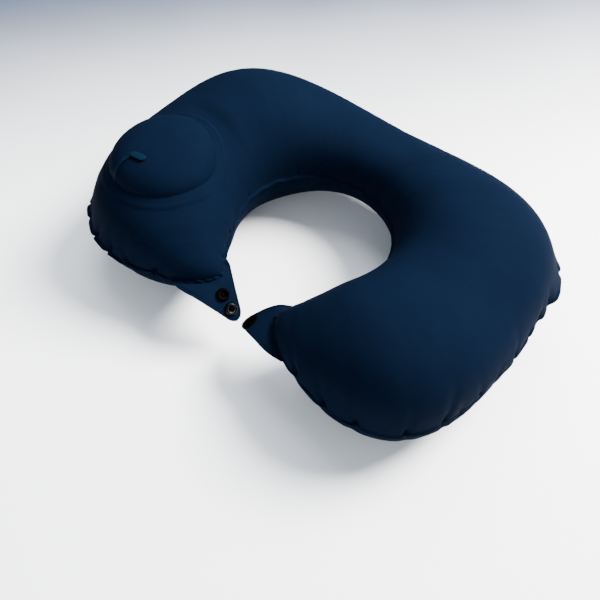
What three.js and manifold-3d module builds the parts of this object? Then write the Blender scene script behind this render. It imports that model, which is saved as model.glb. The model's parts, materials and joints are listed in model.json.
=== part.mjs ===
// An inflatable U shaped neck pillow with a press pump. Millimetres, +Z up.
// While it is being built, the origin is the middle of the neck opening on the floor,
// +Y points to the nape and -X to the arm that carries the pump.
import * as THREE from "three";
import { ParametricGeometry } from "three/addons/geometries/ParametricGeometry.js";
import { mergeVertices } from "three/addons/utils/BufferGeometryUtils.js";
import Module from "manifold-3d";

const wasm = await Module();
wasm.setup();

// ---- Driving sizes ----

// Plan outline of the air chamber at the welded seam
const bodyHalfWidth = 205.8;
const bodyBack = 146;
const bodyFront = 147.6;
const bodyCornerPower = 3.24;
const neckHalfWidth = 74.3;
const neckBack = 69.5;
const neckFront = 79.4;
const neckCornerPower = 2;

// Round ends of the two arms, as headings in degrees from the nape
const armRoundingStart = 122.4;
const armEnd = 160.2;
const armRoundingPower = 1.76;
const armTipShare = 0.27; // where the tip sits between the inner and outer edge

// Section of the inflated chamber
const heightPerWidth = 0.87;
const referenceWidth = 135;
const slimming = -0.09; // narrow sections are a little taller for their width
const sectionPower = 2.26;
const restTrim = 1.5; // how far the fabric flattens where it rests

// Fabric, weld and clearances
const sheet = 1.2;
const weldMargin = 4;
const marginSheet = 0.9;
const clearance = 0.3;

// Spreading of the arms, degrees
const openingAngle = 20;
const closingAngle = 1.5;
const napeClearanceAngle = 1;

// Fastening tabs at the front
const tabTipRadius = 8.5;
const tabTipY = -105;
const leftTipX = -10;
const rightTipX = 13.5;
const tabRootInner = [35, -77];
const tabRootOuter = [63.5, -123.5];
const tabTailInner = [14, 6]; // how far the web runs on under the arm, from each root
const tabTailOuter = [12, 22];
const tabHeading = 12; // degrees from the width axis
const tabHingeX = 31; // from the middle to the hinge line, at the tab's own axis
const tabStartSlope = 30;
const tabEndSlope = 46;
const tabArcLength = 38;
const tabSheet = 1.4;
const snapSpacing = 13;

// Press studs
const snapPinRadius = 1.6;
const socketRadius = 5.8;
const socketMouth = 3.8;
const socketHeight = 2.8;
const capRadius = 7.4;
const rivetRadius = 5.5;
const studRadius = 2.8;

// Press pump
const pumpX = -133;
const pumpY = -50.5;
const pumpRadius = 46;
const pumpHeight = 13;
const pumpSidePower = 2.6;
const pumpFlange = 13;
const pumpSheet = 1.4;
const pumpFlangeSheet = 1;
const pumpBaseSheet = 1;
const pumpTopRadius = 36;
const foamRoom = 1.2;
const foamInset = 6;
const foamRecessTop = 6;
const airHoleRadius = 2.6;
const airHoleX = 5;
const airHoleY = -26.5;
const plugHinge = [-6.5, -28];
const plugWidth = 6.5;
const plugStrapThickness = 1.2;
const plugPinRadius = 2.2;
const plugPinLength = 3.4;
const plugLift = 1.6; // from the dome to the strap's underside
const anchorLength = 2.6;

// Check valve between the pump and the chamber
const checkValveRadius = 8.7;
const checkValveBore = 4;
const checkValveHeight = 7;
const checkValveTop = 3; // above the chamber's skin, in the foam's recess
const checkFlapRadius = 6.6;
const checkFlapThickness = 0.6;

// Release valve on the outer side of the pump arm
const valveHeading = -95;
const valveElevation = -34;
const valveFlangeRadius = 12;
const valveTubeOuter = 5.5;
const valveTubeBore = 4.2;
const valveTubeLength = 13;
const stemWall = 1.2;
const stemLip = 5.4;
const stopperRadius = 6;
const stopperThickness = 1.8;
const stopperPlugLength = 6;
const tetherWidth = 3;
const tetherThickness = 1;

// ---- Colours ----
const navy = 0x0c2239;
const black = 0x060708;
const clearPlastic = 0xd5dde0;
const foamGrey = 0x8b8f93;
const steel = 0xb9bdc1;

// ---- Small tools ----
const radians = THREE.MathUtils.degToRad;
const far = 400;
const turnSegments = 20;
const throughTab = 6; // half-lengths of the cutters about a tab, a chamber wall and the pump
const throughWall = 8;
const throughPump = 40;

// The radius of a rounded outline at a heading, with its own back and front depth.
function outlineRadius(heading, halfWidth, back, front, power) {
  const depth = Math.cos(heading) >= 0 ? back : front;
  const across = Math.abs(Math.sin(heading) / halfWidth) ** power;
  const along = Math.abs(Math.cos(heading) / depth) ** power;
  return (across + along) ** (-1 / power);
}

// Width, height and inner edge of the air chamber at a heading.
function chamberSection(heading) {
  const outer = outlineRadius(heading, bodyHalfWidth, bodyBack, bodyFront, bodyCornerPower);
  const neck = outlineRadius(heading, neckHalfWidth, neckBack, neckFront, neckCornerPower);
  const start = radians(armRoundingStart);
  const share = (Math.abs(heading) - start) / (radians(armEnd) - start);
  const along = THREE.MathUtils.clamp(share, 0, 1);
  const fullWidth = outer - neck;
  const width = fullWidth * (1 - along ** armRoundingPower) ** (1 / armRoundingPower);
  const height = heightPerWidth * width * (fullWidth / referenceWidth) ** slimming;
  return { inner: neck + (fullWidth - width) * armTipShare, width, height };
}

const napeWidth = chamberSection(0).width;
const fullHeight = maximumHeight();
const seamHeight = fullHeight / 2;
const napeMiddle = neckBack + napeWidth / 2;

function maximumHeight() {
  let highest = 0;
  for (let heading = 0; heading <= 180; heading += 1)
    highest = Math.max(highest, chamberSection(radians(heading)).height);
  return highest;
}

function roundedPower(value) {
  return Math.sign(value) * Math.abs(value) ** (2 / sectionPower);
}

// A point of the chamber's skin, moved outwards by a distance.
function skinPoint(heading, turn, outwards, target) {
  const { inner, width, height } = chamberSection(heading);
  const scale = height > 0 ? Math.max(0, 1 + (2 * outwards) / height) : 0;
  const radius = inner + (width / 2) * (1 + scale * roundedPower(Math.cos(turn)));
  const z = seamHeight + (height / 2) * scale * roundedPower(Math.sin(turn));
  return target.set(radius * Math.sin(heading), radius * Math.cos(heading), z);
}

// The whole inflated chamber as a solid whose skin is moved outwards by a distance.
function chamberSolid(outwards, alongSteps = 52, roundSteps = 16) {
  const endHeading = radians(armEnd) * 0.9995;
  const surface = (u, v, target) => {
    const along = 2 * v - 1;
    const heading = endHeading * (1.5 * along - 0.5 * along ** 3);
    if (v === 0 || v === 1) {
      const { inner, width } = chamberSection(heading);
      const radius = inner + width / 2;
      target.set(radius * Math.sin(heading), radius * Math.cos(heading), seamHeight);
    } else skinPoint(heading, 2 * Math.PI * (u % 1), outwards, target);
  };
  return solid(new ParametricGeometry(surface, roundSteps, alongSteps));
}

// A closed geometry as a manifold-3d solid, facing out.
function solid(geometry) {
  const bare = geometry.clone();
  bare.deleteAttribute("normal");
  bare.deleteAttribute("uv");
  const merged = mergeVertices(bare, 1e-4);
  const corners = merged.index.array;
  const kept = [];
  for (let i = 0; i < corners.length; i += 3) {
    const [a, b, c] = [corners[i], corners[i + 1], corners[i + 2]];
    if (a !== b && b !== c && c !== a) kept.push(a, b, c);
  }
  const build = (triangles) =>
    new wasm.Manifold(
      new wasm.Mesh({
        numProp: 3,
        vertProperties: new Float32Array(merged.attributes.position.array),
        triVerts: new Uint32Array(triangles),
      }),
    );
  const made = build(kept);
  return made.volume() < 0 ? build(kept.reverse()) : made;
}

// A manifold-3d solid as a three.js geometry.
function geometryOf(made) {
  const mesh = made.getMesh();
  const points = [];
  for (let i = 0; i < mesh.numVert; i++)
    points.push(...mesh.vertProperties.slice(i * mesh.numProp, i * mesh.numProp + 3));
  const geometry = new THREE.BufferGeometry();
  geometry.setAttribute("position", new THREE.Float32BufferAttribute(points, 3));
  geometry.setIndex([...mesh.triVerts]);
  geometry.computeVertexNormals();
  return geometry;
}

// A solid turned about +Z from a profile of [radius, height] points.
function turned(profile, segments = turnSegments) {
  const points = profile.map(([radius, height]) => new THREE.Vector2(radius, height));
  return solid(new THREE.LatheGeometry(points, segments).rotateX(Math.PI / 2));
}

// A profile that doesn't touch the axis, closed on itself.
function turnedRing(profile, segments = turnSegments) {
  return turned([...profile, profile[0]], segments);
}

function cylinder(radius, low, high, segments = 2 * turnSegments) {
  return turned([[0, low], [radius, low], [radius, high], [0, high]], segments);
}

// A plan outline of [x, y] points raised from one height to another.
function prism(points, low, high) {
  const shape = new THREE.Shape(points.map(([x, y]) => new THREE.Vector2(x, y)));
  const depth = high - low;
  const raised = new THREE.ExtrudeGeometry(shape, { depth, bevelEnabled: false });
  return solid(raised.translate(0, 0, low));
}

function box(low, high) {
  const size = high.map((value, i) => value - low[i]);
  const centre = high.map((value, i) => (value + low[i]) / 2);
  return solid(new THREE.BoxGeometry(...size).translate(...centre));
}

function moved(made, matrix) {
  return solid(geometryOf(made).applyMatrix4(matrix));
}

function node(name, made, colour, roughness, metalness = 0) {
  const material = new THREE.MeshStandardMaterial({ color: colour, roughness, metalness });
  const mesh = new THREE.Mesh(geometryOf(made), material);
  mesh.name = name;
  return mesh;
}

// ---- Welded margin and tab outlines ----

// The chamber's outline at the seam as a closed loop of points.
function seamOutline(steps = 48) {
  const outer = [];
  const inner = [];
  for (let i = 0; i <= steps; i++) {
    const along = (2 * i) / steps - 1;
    const heading = radians(armEnd) * (1.5 * along - 0.5 * along ** 3);
    const { inner: near, width } = chamberSection(heading);
    outer.push([(near + width) * Math.sin(heading), (near + width) * Math.cos(heading)]);
    if (i > 0 && i < steps) inner.push([near * Math.sin(heading), near * Math.cos(heading)]);
  }
  return [...outer, ...inner.reverse()];
}

// A closed clockwise outline moved outwards along its own normals.
function grown(points, distance) {
  return points.map(([x, y], i) => {
    const [ax, ay] = points[(i + points.length - 1) % points.length];
    const [bx, by] = points[(i + 1) % points.length];
    const length = Math.hypot(bx - ax, by - ay);
    return [x - (distance * (by - ay)) / length, y + (distance * (bx - ax)) / length];
  });
}

// Direction from a circle's centre to where a line from an outside point touches it, on one side.
function touchAngle([px, py], [cx, cy], radius, side) {
  const distance = Math.hypot(px - cx, py - cy);
  const toPoint = Math.atan2(py - cy, px - cx);
  return toPoint + side * Math.acos(radius / distance);
}

// Plan outline of one tab, side -1 on the pump arm and +1 on the plain arm.
function tabOutline(side, tipX) {
  const inner = [side * tabRootInner[0], tabRootInner[1]];
  const outer = [side * tabRootOuter[0], tabRootOuter[1]];
  const tip = [tipX, tabTipY];
  const start = touchAngle(inner, tip, tabTipRadius, side);
  let end = touchAngle(outer, tip, tabTipRadius, -side);
  while (side * (end - start) < 0) end += side * 2 * Math.PI;
  const arcSteps = 14;
  const points = [inner];
  for (let i = 0; i <= arcSteps; i++) {
    const angle = start + ((end - start) * i) / arcSteps;
    points.push([tip[0] + tabTipRadius * Math.cos(angle), tip[1] + tabTipRadius * Math.sin(angle)]);
  }
  const [outerTail, innerTail] = [tabTailOuter, tabTailInner];
  points.push(outer, [outer[0] + side * outerTail[0], outer[1] + outerTail[1]]);
  points.push([inner[0] + side * innerTail[0], inner[1] + innerTail[1]]);
  return points;
}

// From a tab's hinge line to its tip centre, measured in plan.
function flexLength(tipX) {
  return (tabHingeX - Math.abs(tipX)) / Math.cos(radians(tabHeading));
}

// The frame of a tab: origin on its hinge line, +X to the tip, +Z up.
function tabFrame(side, tipX) {
  const toTip = new THREE.Vector3(-side * Math.cos(radians(tabHeading)), -Math.sin(radians(tabHeading)), 0);
  const up = new THREE.Vector3(0, 0, 1);
  const across = new THREE.Vector3().crossVectors(up, toTip);
  const origin = new THREE.Vector3(tipX, tabTipY, seamHeight).addScaledVector(toTip, -flexLength(tipX));
  return new THREE.Matrix4().makeBasis(toTip, across, up).setPosition(origin);
}

// ---- Air chamber: two panels, each in a pump side and a plain side ----

const chamberSkin = chamberSolid(0);
const chamberInside = chamberSolid(-sheet);
const pumpTop = skinPoint(Math.atan2(pumpX, pumpY), Math.PI / 2, 0, new THREE.Vector3()).z;
const pumpPlace = new THREE.Matrix4().makeTranslation(pumpX, pumpY, pumpTop);
const tabs = [
  { side: -1, tipX: leftTipX },
  { side: 1, tipX: rightTipX },
];

// The welded margin with the fixed root of each tab, between two heights.
function marginPlate(low, high) {
  let plate = prism(grown(seamOutline(), weldMargin), low, high);
  for (const { side, tipX } of tabs) {
    const behindHinge = box([-far, -far, -far], [-clearance, far, far]);
    const root = prism(tabOutline(side, tipX), low, high);
    plate = plate.add(root.intersect(moved(behindHinge, tabFrame(side, tipX))));
  }
  return plate;
}

const floorCut = box([-far, -far, -far], [far, far, restTrim]);
const insideFloorCut = box([-far, -far, -far], [far, far, restTrim + sheet]);
const hollow = chamberInside.subtract(insideFloorCut);
const gap = clearance / 2;
const upperMargin = marginPlate(seamHeight + gap, seamHeight + gap + marginSheet);
const lowerMargin = marginPlate(seamHeight - gap - marginSheet, seamHeight - gap);
const aboveSeam = box([-far, -far, seamHeight + gap], [far, far, far]);
const belowSeam = box([-far, -far, restTrim], [far, far, seamHeight - gap]);
const checkValveHole = moved(cylinder(checkValveRadius + clearance, -throughPump, throughPump), pumpPlace);

// The release valve's place on the skin, with +Z out of the pillow.
function valveFrame() {
  const heading = radians(valveHeading);
  const turn = radians(valveElevation);
  const step = 0.01;
  const place = skinPoint(heading, turn, 0, new THREE.Vector3());
  const alongSkin = skinPoint(heading + step, turn, 0, new THREE.Vector3()).sub(place);
  const upSkin = skinPoint(heading, turn + step, 0, new THREE.Vector3()).sub(place);
  const outwards = new THREE.Vector3().crossVectors(upSkin, alongSkin).normalize();
  const across = alongSkin.clone().normalize();
  const third = new THREE.Vector3().crossVectors(outwards, across);
  return new THREE.Matrix4().makeBasis(across, third, outwards).setPosition(place);
}
const valvePlace = valveFrame();
const valveHole = moved(cylinder(valveTubeOuter + clearance, -throughWall, throughWall), valvePlace);

const upperPanel = chamberSkin.intersect(aboveSeam).add(upperMargin).subtract(hollow).subtract(checkValveHole);
const lowerPanel = chamberSkin.intersect(belowSeam).add(lowerMargin).subtract(hollow).subtract(valveHole);

// The plain side starts behind a wedge at the nape that the opening arms close.
const wedgeReach = 60;
const openSlope = Math.tan(radians(openingAngle + napeClearanceAngle));
const closeSlope = Math.tan(radians(closingAngle));
const plainOutline = [
  [clearance, napeMiddle],
  [clearance + wedgeReach * openSlope, napeMiddle + wedgeReach],
  [far, napeMiddle + wedgeReach],
  [far, -far],
  [clearance + (napeMiddle + far) * closeSlope, -far],
];
const plainSide = prism(plainOutline, -far, far);
const pumpSide = box([-far, -far, -far], [-clearance, far, far]);

// ---- Assembly ----
const pillow = new THREE.Group();
const fabricRoughness = 0.85;

pillow.add(node("upper_panel_pump_side", upperPanel.intersect(pumpSide), navy, fabricRoughness));
pillow.add(node("lower_panel_pump_side", lowerPanel.intersect(pumpSide), navy, fabricRoughness));
pillow.add(node("upper_panel_plain_side", upperPanel.intersect(plainSide), navy, fabricRoughness));
pillow.add(node("lower_panel_plain_side", lowerPanel.intersect(plainSide), navy, fabricRoughness));

// ---- Fastening tabs and press studs ----

const startSlope = radians(tabStartSlope);
const endSlope = radians(tabEndSlope);
const bendRadius = tabArcLength / (endSlope - startSlope);

// Centre of the bend, below the hinge line in the tab's own frame.
const bendCentre = [-bendRadius * Math.sin(startSlope), -bendRadius * Math.cos(startSlope)];

function bentSlab() {
  const shape = new THREE.Shape();
  const [x, z] = bendCentre;
  const first = Math.PI / 2 - startSlope;
  const last = Math.PI / 2 - endSlope;
  shape.absarc(x, z, bendRadius, first, last, true);
  shape.absarc(x, z, bendRadius - tabSheet, last, first, false);
  const slab = new THREE.ExtrudeGeometry(shape, { depth: far, bevelEnabled: false, curveSegments: 8 });
  return solid(slab.rotateX(Math.PI / 2).translate(0, far / 2, 0));
}

// The frame of a press stud on the tab's top face, at a distance in plan from the hinge line.
function studFrame(distance) {
  const slope = Math.asin(Math.sin(startSlope) + distance / bendRadius);
  const x = bendCentre[0] + bendRadius * Math.sin(slope);
  const z = bendCentre[1] + bendRadius * Math.cos(slope);
  return new THREE.Matrix4().makeRotationY(slope).setPosition(x, 0, z);
}

const tabUnder = -tabSheet - clearance;
const pinHole = snapPinRadius + clearance;
const floorTop = clearance + 0.7;
const pinTop = floorTop + clearance;

function socketSolid() {
  return turnedRing([
    [pinHole, clearance],
    [socketRadius, clearance],
    [socketRadius, clearance + socketHeight * 0.45],
    [socketRadius - 0.6, clearance + socketHeight * 0.85],
    [socketRadius - 1.4, clearance + socketHeight],
    [socketMouth, clearance + socketHeight * 0.9],
    [socketMouth, floorTop],
    [pinHole, floorTop],
  ]);
}

function springRingSolid() {
  const outer = socketMouth - clearance;
  const inner = outer - 0.6;
  return turnedRing([[inner, 1.7], [outer, 1.7], [outer, 2.4], [inner, 2.4]]);
}

function rivetSolid() {
  return turned([
    [0, tabUnder - 1.1],
    [rivetRadius - 0.8, tabUnder - 1.1],
    [rivetRadius, tabUnder - 0.6],
    [rivetRadius, tabUnder],
    [snapPinRadius, tabUnder],
    [snapPinRadius, pinTop],
    [0, pinTop],
  ]);
}

function capSolid() {
  const pinLow = tabUnder - 1.2;
  return turned([
    [0, pinLow],
    [snapPinRadius, pinLow],
    [snapPinRadius, clearance],
    [capRadius, clearance],
    [capRadius, clearance + 0.6],
    [capRadius - 1, clearance + 1.3],
    [capRadius * 0.5, clearance + 1.7],
    [0, clearance + 1.8],
  ]);
}

function studSolid() {
  const low = tabUnder - 0.9;
  return turned([
    [0, tabUnder - 3.4],
    [studRadius - 0.7, tabUnder - 3.2],
    [studRadius, tabUnder - 2.6],
    [studRadius - 0.3, low],
    [rivetRadius, low],
    [rivetRadius, tabUnder],
    [pinHole, tabUnder],
    [pinHole, tabUnder - 1.2 - clearance],
    [0, tabUnder - 1.2 - clearance],
  ]);
}

function buildTab(name, { side, tipX }, studDistances) {
  const frame = tabFrame(side, tipX);
  const group = new THREE.Group();
  group.applyMatrix4(frame);
  const outline = moved(prism(tabOutline(side, tipX), -far, far), frame.clone().invert());
  const beyondHinge = box([clearance, -far, -far], [far, far, far]);
  const armOutline = grown(seamOutline(), weldMargin + clearance);
  const armMargin = moved(prism(armOutline, -far, far), frame.clone().invert());
  let flap = bentSlab().intersect(outline).intersect(beyondHinge).subtract(armMargin);
  for (const distance of studDistances)
    flap = flap.subtract(moved(cylinder(pinHole, -throughTab, throughTab, turnSegments), studFrame(distance)));
  group.add(node(name, flap, navy, fabricRoughness));
  pillow.add(group);
  return group;
}

function onTab(group, distance, pieces) {
  const place = new THREE.Group();
  place.applyMatrix4(studFrame(distance));
  pieces.forEach((piece) => place.add(piece));
  group.add(place);
}

const [leftSide, rightSide] = tabs;
const tipDistance = flexLength(leftTipX);
const innerDistance = tipDistance - snapSpacing * Math.cos(radians(tabStartSlope));
const leftTab = buildTab("left_tab", leftSide, [tipDistance, innerDistance]);
for (const [place, distance] of [["tip", tipDistance], ["inner", innerDistance]])
  onTab(leftTab, distance, [
    node(`${place}_snap_socket`, socketSolid(), black, 0.35),
    node(`${place}_snap_spring_ring`, springRingSolid(), steel, 0.25, 1),
    node(`${place}_snap_rivet`, rivetSolid(), black, 0.4),
  ]);
const capDistance = flexLength(rightTipX);
const rightTab = buildTab("right_tab", rightSide, [capDistance]);
onTab(rightTab, capDistance, [
  node("snap_cap", capSolid(), black, 0.35),
  node("snap_stud", studSolid(), black, 0.35),
]);

// ---- Press pump, in a frame with its origin on top of the arm ----

const pump = new THREE.Group();
pump.applyMatrix4(pumpPlace);
pillow.add(pump);
const toPump = pumpPlace.clone().invert();
const baseTop = clearance + pumpBaseSheet;
const skirtFoot = baseTop + clearance;
const flangeRadius = pumpRadius + pumpFlange;

// The chamber's skin near the pump, moved outwards, in the pump's frame.
function skinNearPump(outwards) {
  return moved(chamberSolid(outwards), toPump);
}

// Height of the arm's upper skin over a plan point, in the pump's frame.
function armTop(x, y) {
  const { inner, width, height } = chamberSection(Math.atan2(pumpX + x, pumpY + y));
  const across = (Math.hypot(pumpX + x, pumpY + y) - inner) / (width / 2) - 1;
  const inside = Math.max(0, 1 - Math.abs(across) ** sectionPower);
  return seamHeight + (height / 2) * inside ** (1 / sectionPower) - pumpTop;
}

// Height of the pump's outside, reduced all round by a distance. It rises from a rim on the arm.
function domeHeight(radius, turn, reduced = 0) {
  const outer = pumpRadius - reduced;
  const rim = armTop(outer * Math.cos(turn), outer * Math.sin(turn));
  const rise = Math.sqrt(Math.max(0, 1 - (radius / outer) ** pumpSidePower));
  return rim + (pumpHeight - reduced - rim) * rise;
}

// The solid under the pump's outside, reduced all round by a distance.
function domeSolid(reduced) {
  const outer = pumpRadius - reduced;
  const steps = 9;
  const rows = steps + 2;
  const surface = (u, v, target) => {
    const turn = 2 * Math.PI * (u % 1);
    const row = Math.round(v * rows);
    const share = Math.max(0, row - 2) / steps;
    const narrowed = outer * Math.cos(share * (Math.PI / 2)) ** 0.7;
    const radius = row === 0 || row === rows ? 0 : narrowed;
    const height = row < 2 ? -throughPump : domeHeight(radius, turn, reduced);
    target.set(radius * Math.cos(turn), radius * Math.sin(turn), height);
  };
  return solid(new ParametricGeometry(surface, 40, rows));
}

const flangeTop = skirtFoot + pumpFlangeSheet;
const flangeDisc = cylinder(flangeRadius, -throughPump, throughPump);
const cutter = (radius) => cylinder(radius, -2 * throughPump, 2 * throughPump);
const skirtRing = flangeDisc.subtract(cutter(pumpTopRadius + clearance));
const flangeRing = flangeDisc.subtract(cutter(pumpRadius - pumpSheet));
const baseDisc = flangeDisc.subtract(cutter(checkValveRadius + clearance));
const pumpBase = skinNearPump(baseTop).subtract(skinNearPump(clearance)).intersect(baseDisc);
const domeShell = domeSolid(0).subtract(domeSolid(pumpSheet)).subtract(skinNearPump(skirtFoot));
const flange = skinNearPump(flangeTop).subtract(skinNearPump(skirtFoot)).intersect(flangeRing);
const upperHalf = box([-far, -far, -seamHeight / 2], [far, far, far]);
const airHole = cylinder(airHoleRadius, 0, throughPump, turnSegments).translate([airHoleX, airHoleY, 0]);

const domeCap = domeShell.intersect(cylinder(pumpTopRadius, 0, throughPump)).subtract(airHole);
const skirt = flange.add(domeShell).intersect(skirtRing).intersect(upperHalf);

pump.add(node("pump_base", pumpBase.intersect(upperHalf), navy, 0.6));
pump.add(node("pump_skirt", skirt, navy, fabricRoughness));
pump.add(node("pump_dome", domeCap, navy, fabricRoughness));

const foamRecess = cylinder(checkValveRadius + foamRoom, -throughPump, foamRecessTop);
const foam = domeSolid(pumpSheet + foamRoom)
  .intersect(cylinder(pumpRadius - foamInset, -throughPump, throughPump))
  .subtract(skinNearPump(skirtFoot))
  .subtract(foamRecess)
  .subtract(airHole);
pump.add(node("pump_foam", foam, foamGrey, 0.95));

const valveFoot = checkValveTop - checkValveHeight;
const seatRing = turnedRing([
  [checkValveBore, valveFoot],
  [checkValveRadius, valveFoot],
  [checkValveRadius, checkValveTop],
  [checkValveBore, checkValveTop],
]);
pump.add(node("check_valve_seat", seatRing, clearPlastic, 0.3));
const flapTop = valveFoot - clearance;
const checkFlap = cylinder(checkFlapRadius, flapTop - checkFlapThickness, flapTop, turnSegments);
pump.add(node("check_valve_flap", checkFlap, clearPlastic, 0.3));

// The air hole's plug on its strap: +X along the strap, origin on its hinge.
const strapRun = [airHoleX - plugHinge[0], airHoleY - plugHinge[1]];
const strapHeading = Math.atan2(strapRun[1], strapRun[0]);
const strapLength = Math.hypot(...strapRun);
const domeAt = (x, y) => domeHeight(Math.hypot(x, y), Math.atan2(y, x));
const hingeHeight = domeAt(...plugHinge) + plugLift;
const strapSlope = Math.atan2(domeAt(airHoleX, airHoleY) + plugLift - hingeHeight, strapLength);
const plugPlace = new THREE.Group();
plugPlace.position.set(plugHinge[0], plugHinge[1], hingeHeight);
plugPlace.rotation.set(0, -strapSlope, strapHeading, "ZYX");
const pinReach = strapLength / Math.cos(strapSlope);
const strapEnd = cylinder(plugWidth / 2, 0, plugStrapThickness, turnSegments).translate([pinReach, 0, 0]);
const strapBar = box([clearance, -plugWidth / 2, 0], [pinReach, plugWidth / 2, plugStrapThickness]);
const pinTopInStrap = plugStrapThickness / 2;
const plugPin = cylinder(plugPinRadius, -plugPinLength, pinTopInStrap, turnSegments);
const plug = strapBar.add(strapEnd).add(plugPin.translate([pinReach, 0, 0]));
plugPlace.add(node("air_hole_plug", plug, navy, 0.5));
const anchorBar = box([-anchorLength, -plugWidth / 4, 0], [-clearance, plugWidth / 4, plugStrapThickness]);
plugPlace.add(node("plug_strap_anchor", anchorBar, navy, 0.5));
pump.add(plugPlace);

// ---- Release valve, in a frame with its origin on the skin and +Z outwards ----

const valve = new THREE.Group();
valve.applyMatrix4(valvePlace);
pillow.add(valve);
const valveFlange = turnedRing([
  [valveTubeBore, -valveTubeLength],
  [valveTubeOuter, -valveTubeLength],
  [valveTubeOuter, clearance],
  [valveFlangeRadius, clearance],
  [valveFlangeRadius, clearance + 1],
  [valveTubeBore, clearance + 1],
]);
const stemRadius = valveTubeBore - clearance;
const stemBore = stemRadius - stemWall;
const lipFoot = 2 * clearance + 1;
const lipTop = lipFoot + 1.6;
const stemFoot = -valveTubeLength + 1;
const stem = turnedRing([
  [stemBore, stemFoot],
  [stemRadius, stemFoot],
  [stemRadius, lipFoot],
  [stemLip, lipFoot],
  [stemLip, lipTop],
  [stemBore, lipTop],
]);
const stopperFoot = lipTop + clearance;
const stopper = turned([
  [0, stopperFoot - stopperPlugLength],
  [stemBore - clearance, stopperFoot - stopperPlugLength],
  [stemBore - clearance, stopperFoot],
  [stopperRadius, stopperFoot],
  [stopperRadius, stopperFoot + stopperThickness],
  [0, stopperFoot + stopperThickness],
]);
const flapRadius = stemRadius - 0.4;
const stemFlap = cylinder(flapRadius, stemFoot - clearance - 0.5, stemFoot - clearance, turnSegments);
valve.add(node("release_valve_flange", valveFlange, clearPlastic, 0.2));
valve.add(node("release_valve_stem", stem, clearPlastic, 0.2));
valve.add(node("release_valve_stopper", stopper, clearPlastic, 0.2));
valve.add(node("release_valve_flap", stemFlap, clearPlastic, 0.3));

// The stopper's strap loops from the stem's lip to the stopper's rim.
function tetherSolid() {
  const low = (lipFoot + lipTop) / 2;
  const high = stopperFoot + stopperThickness / 2;
  const shape = new THREE.Shape();
  const middle = (low + high) / 2;
  const reach = (high - low) / 2 + tetherThickness / 2;
  const start = stopperRadius + clearance;
  shape.moveTo(start, middle - reach);
  shape.absarc(start + 1, middle, reach, -Math.PI / 2, Math.PI / 2, false);
  shape.lineTo(start, middle + reach);
  shape.lineTo(start, middle + reach - tetherThickness);
  shape.absarc(start + 1, middle, reach - tetherThickness, Math.PI / 2, -Math.PI / 2, true);
  shape.lineTo(start, middle - reach + tetherThickness);
  const loop = new THREE.ExtrudeGeometry(shape, { depth: tetherWidth, bevelEnabled: false, curveSegments: 8 });
  return solid(loop.rotateX(Math.PI / 2).translate(0, tetherWidth / 2, 0));
}
valve.add(node("stopper_tether", tetherSolid(), clearPlastic, 0.2));

// ---- The part's own origin: the middle of its footprint, where it rests ----
pillow.updateMatrixWorld(true);
const bounds = new THREE.Box3().setFromObject(pillow, true);
const middle = bounds.getCenter(new THREE.Vector3());
pillow.position.set(-middle.x, -middle.y, -bounds.min.z);

export default pillow;
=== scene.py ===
"""An inflatable U shaped neck pillow with a press pump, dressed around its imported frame.

Metres, +Z up, +Y to the nape and -X to the arm that carries the pump.
"""
import json
import logging
import math
from contextlib import contextmanager
from dataclasses import dataclass, field
from enum import Enum
from typing import Iterator, Sequence

import bmesh
import bpy
import numpy as np
from mathutils import Matrix, Vector

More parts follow.
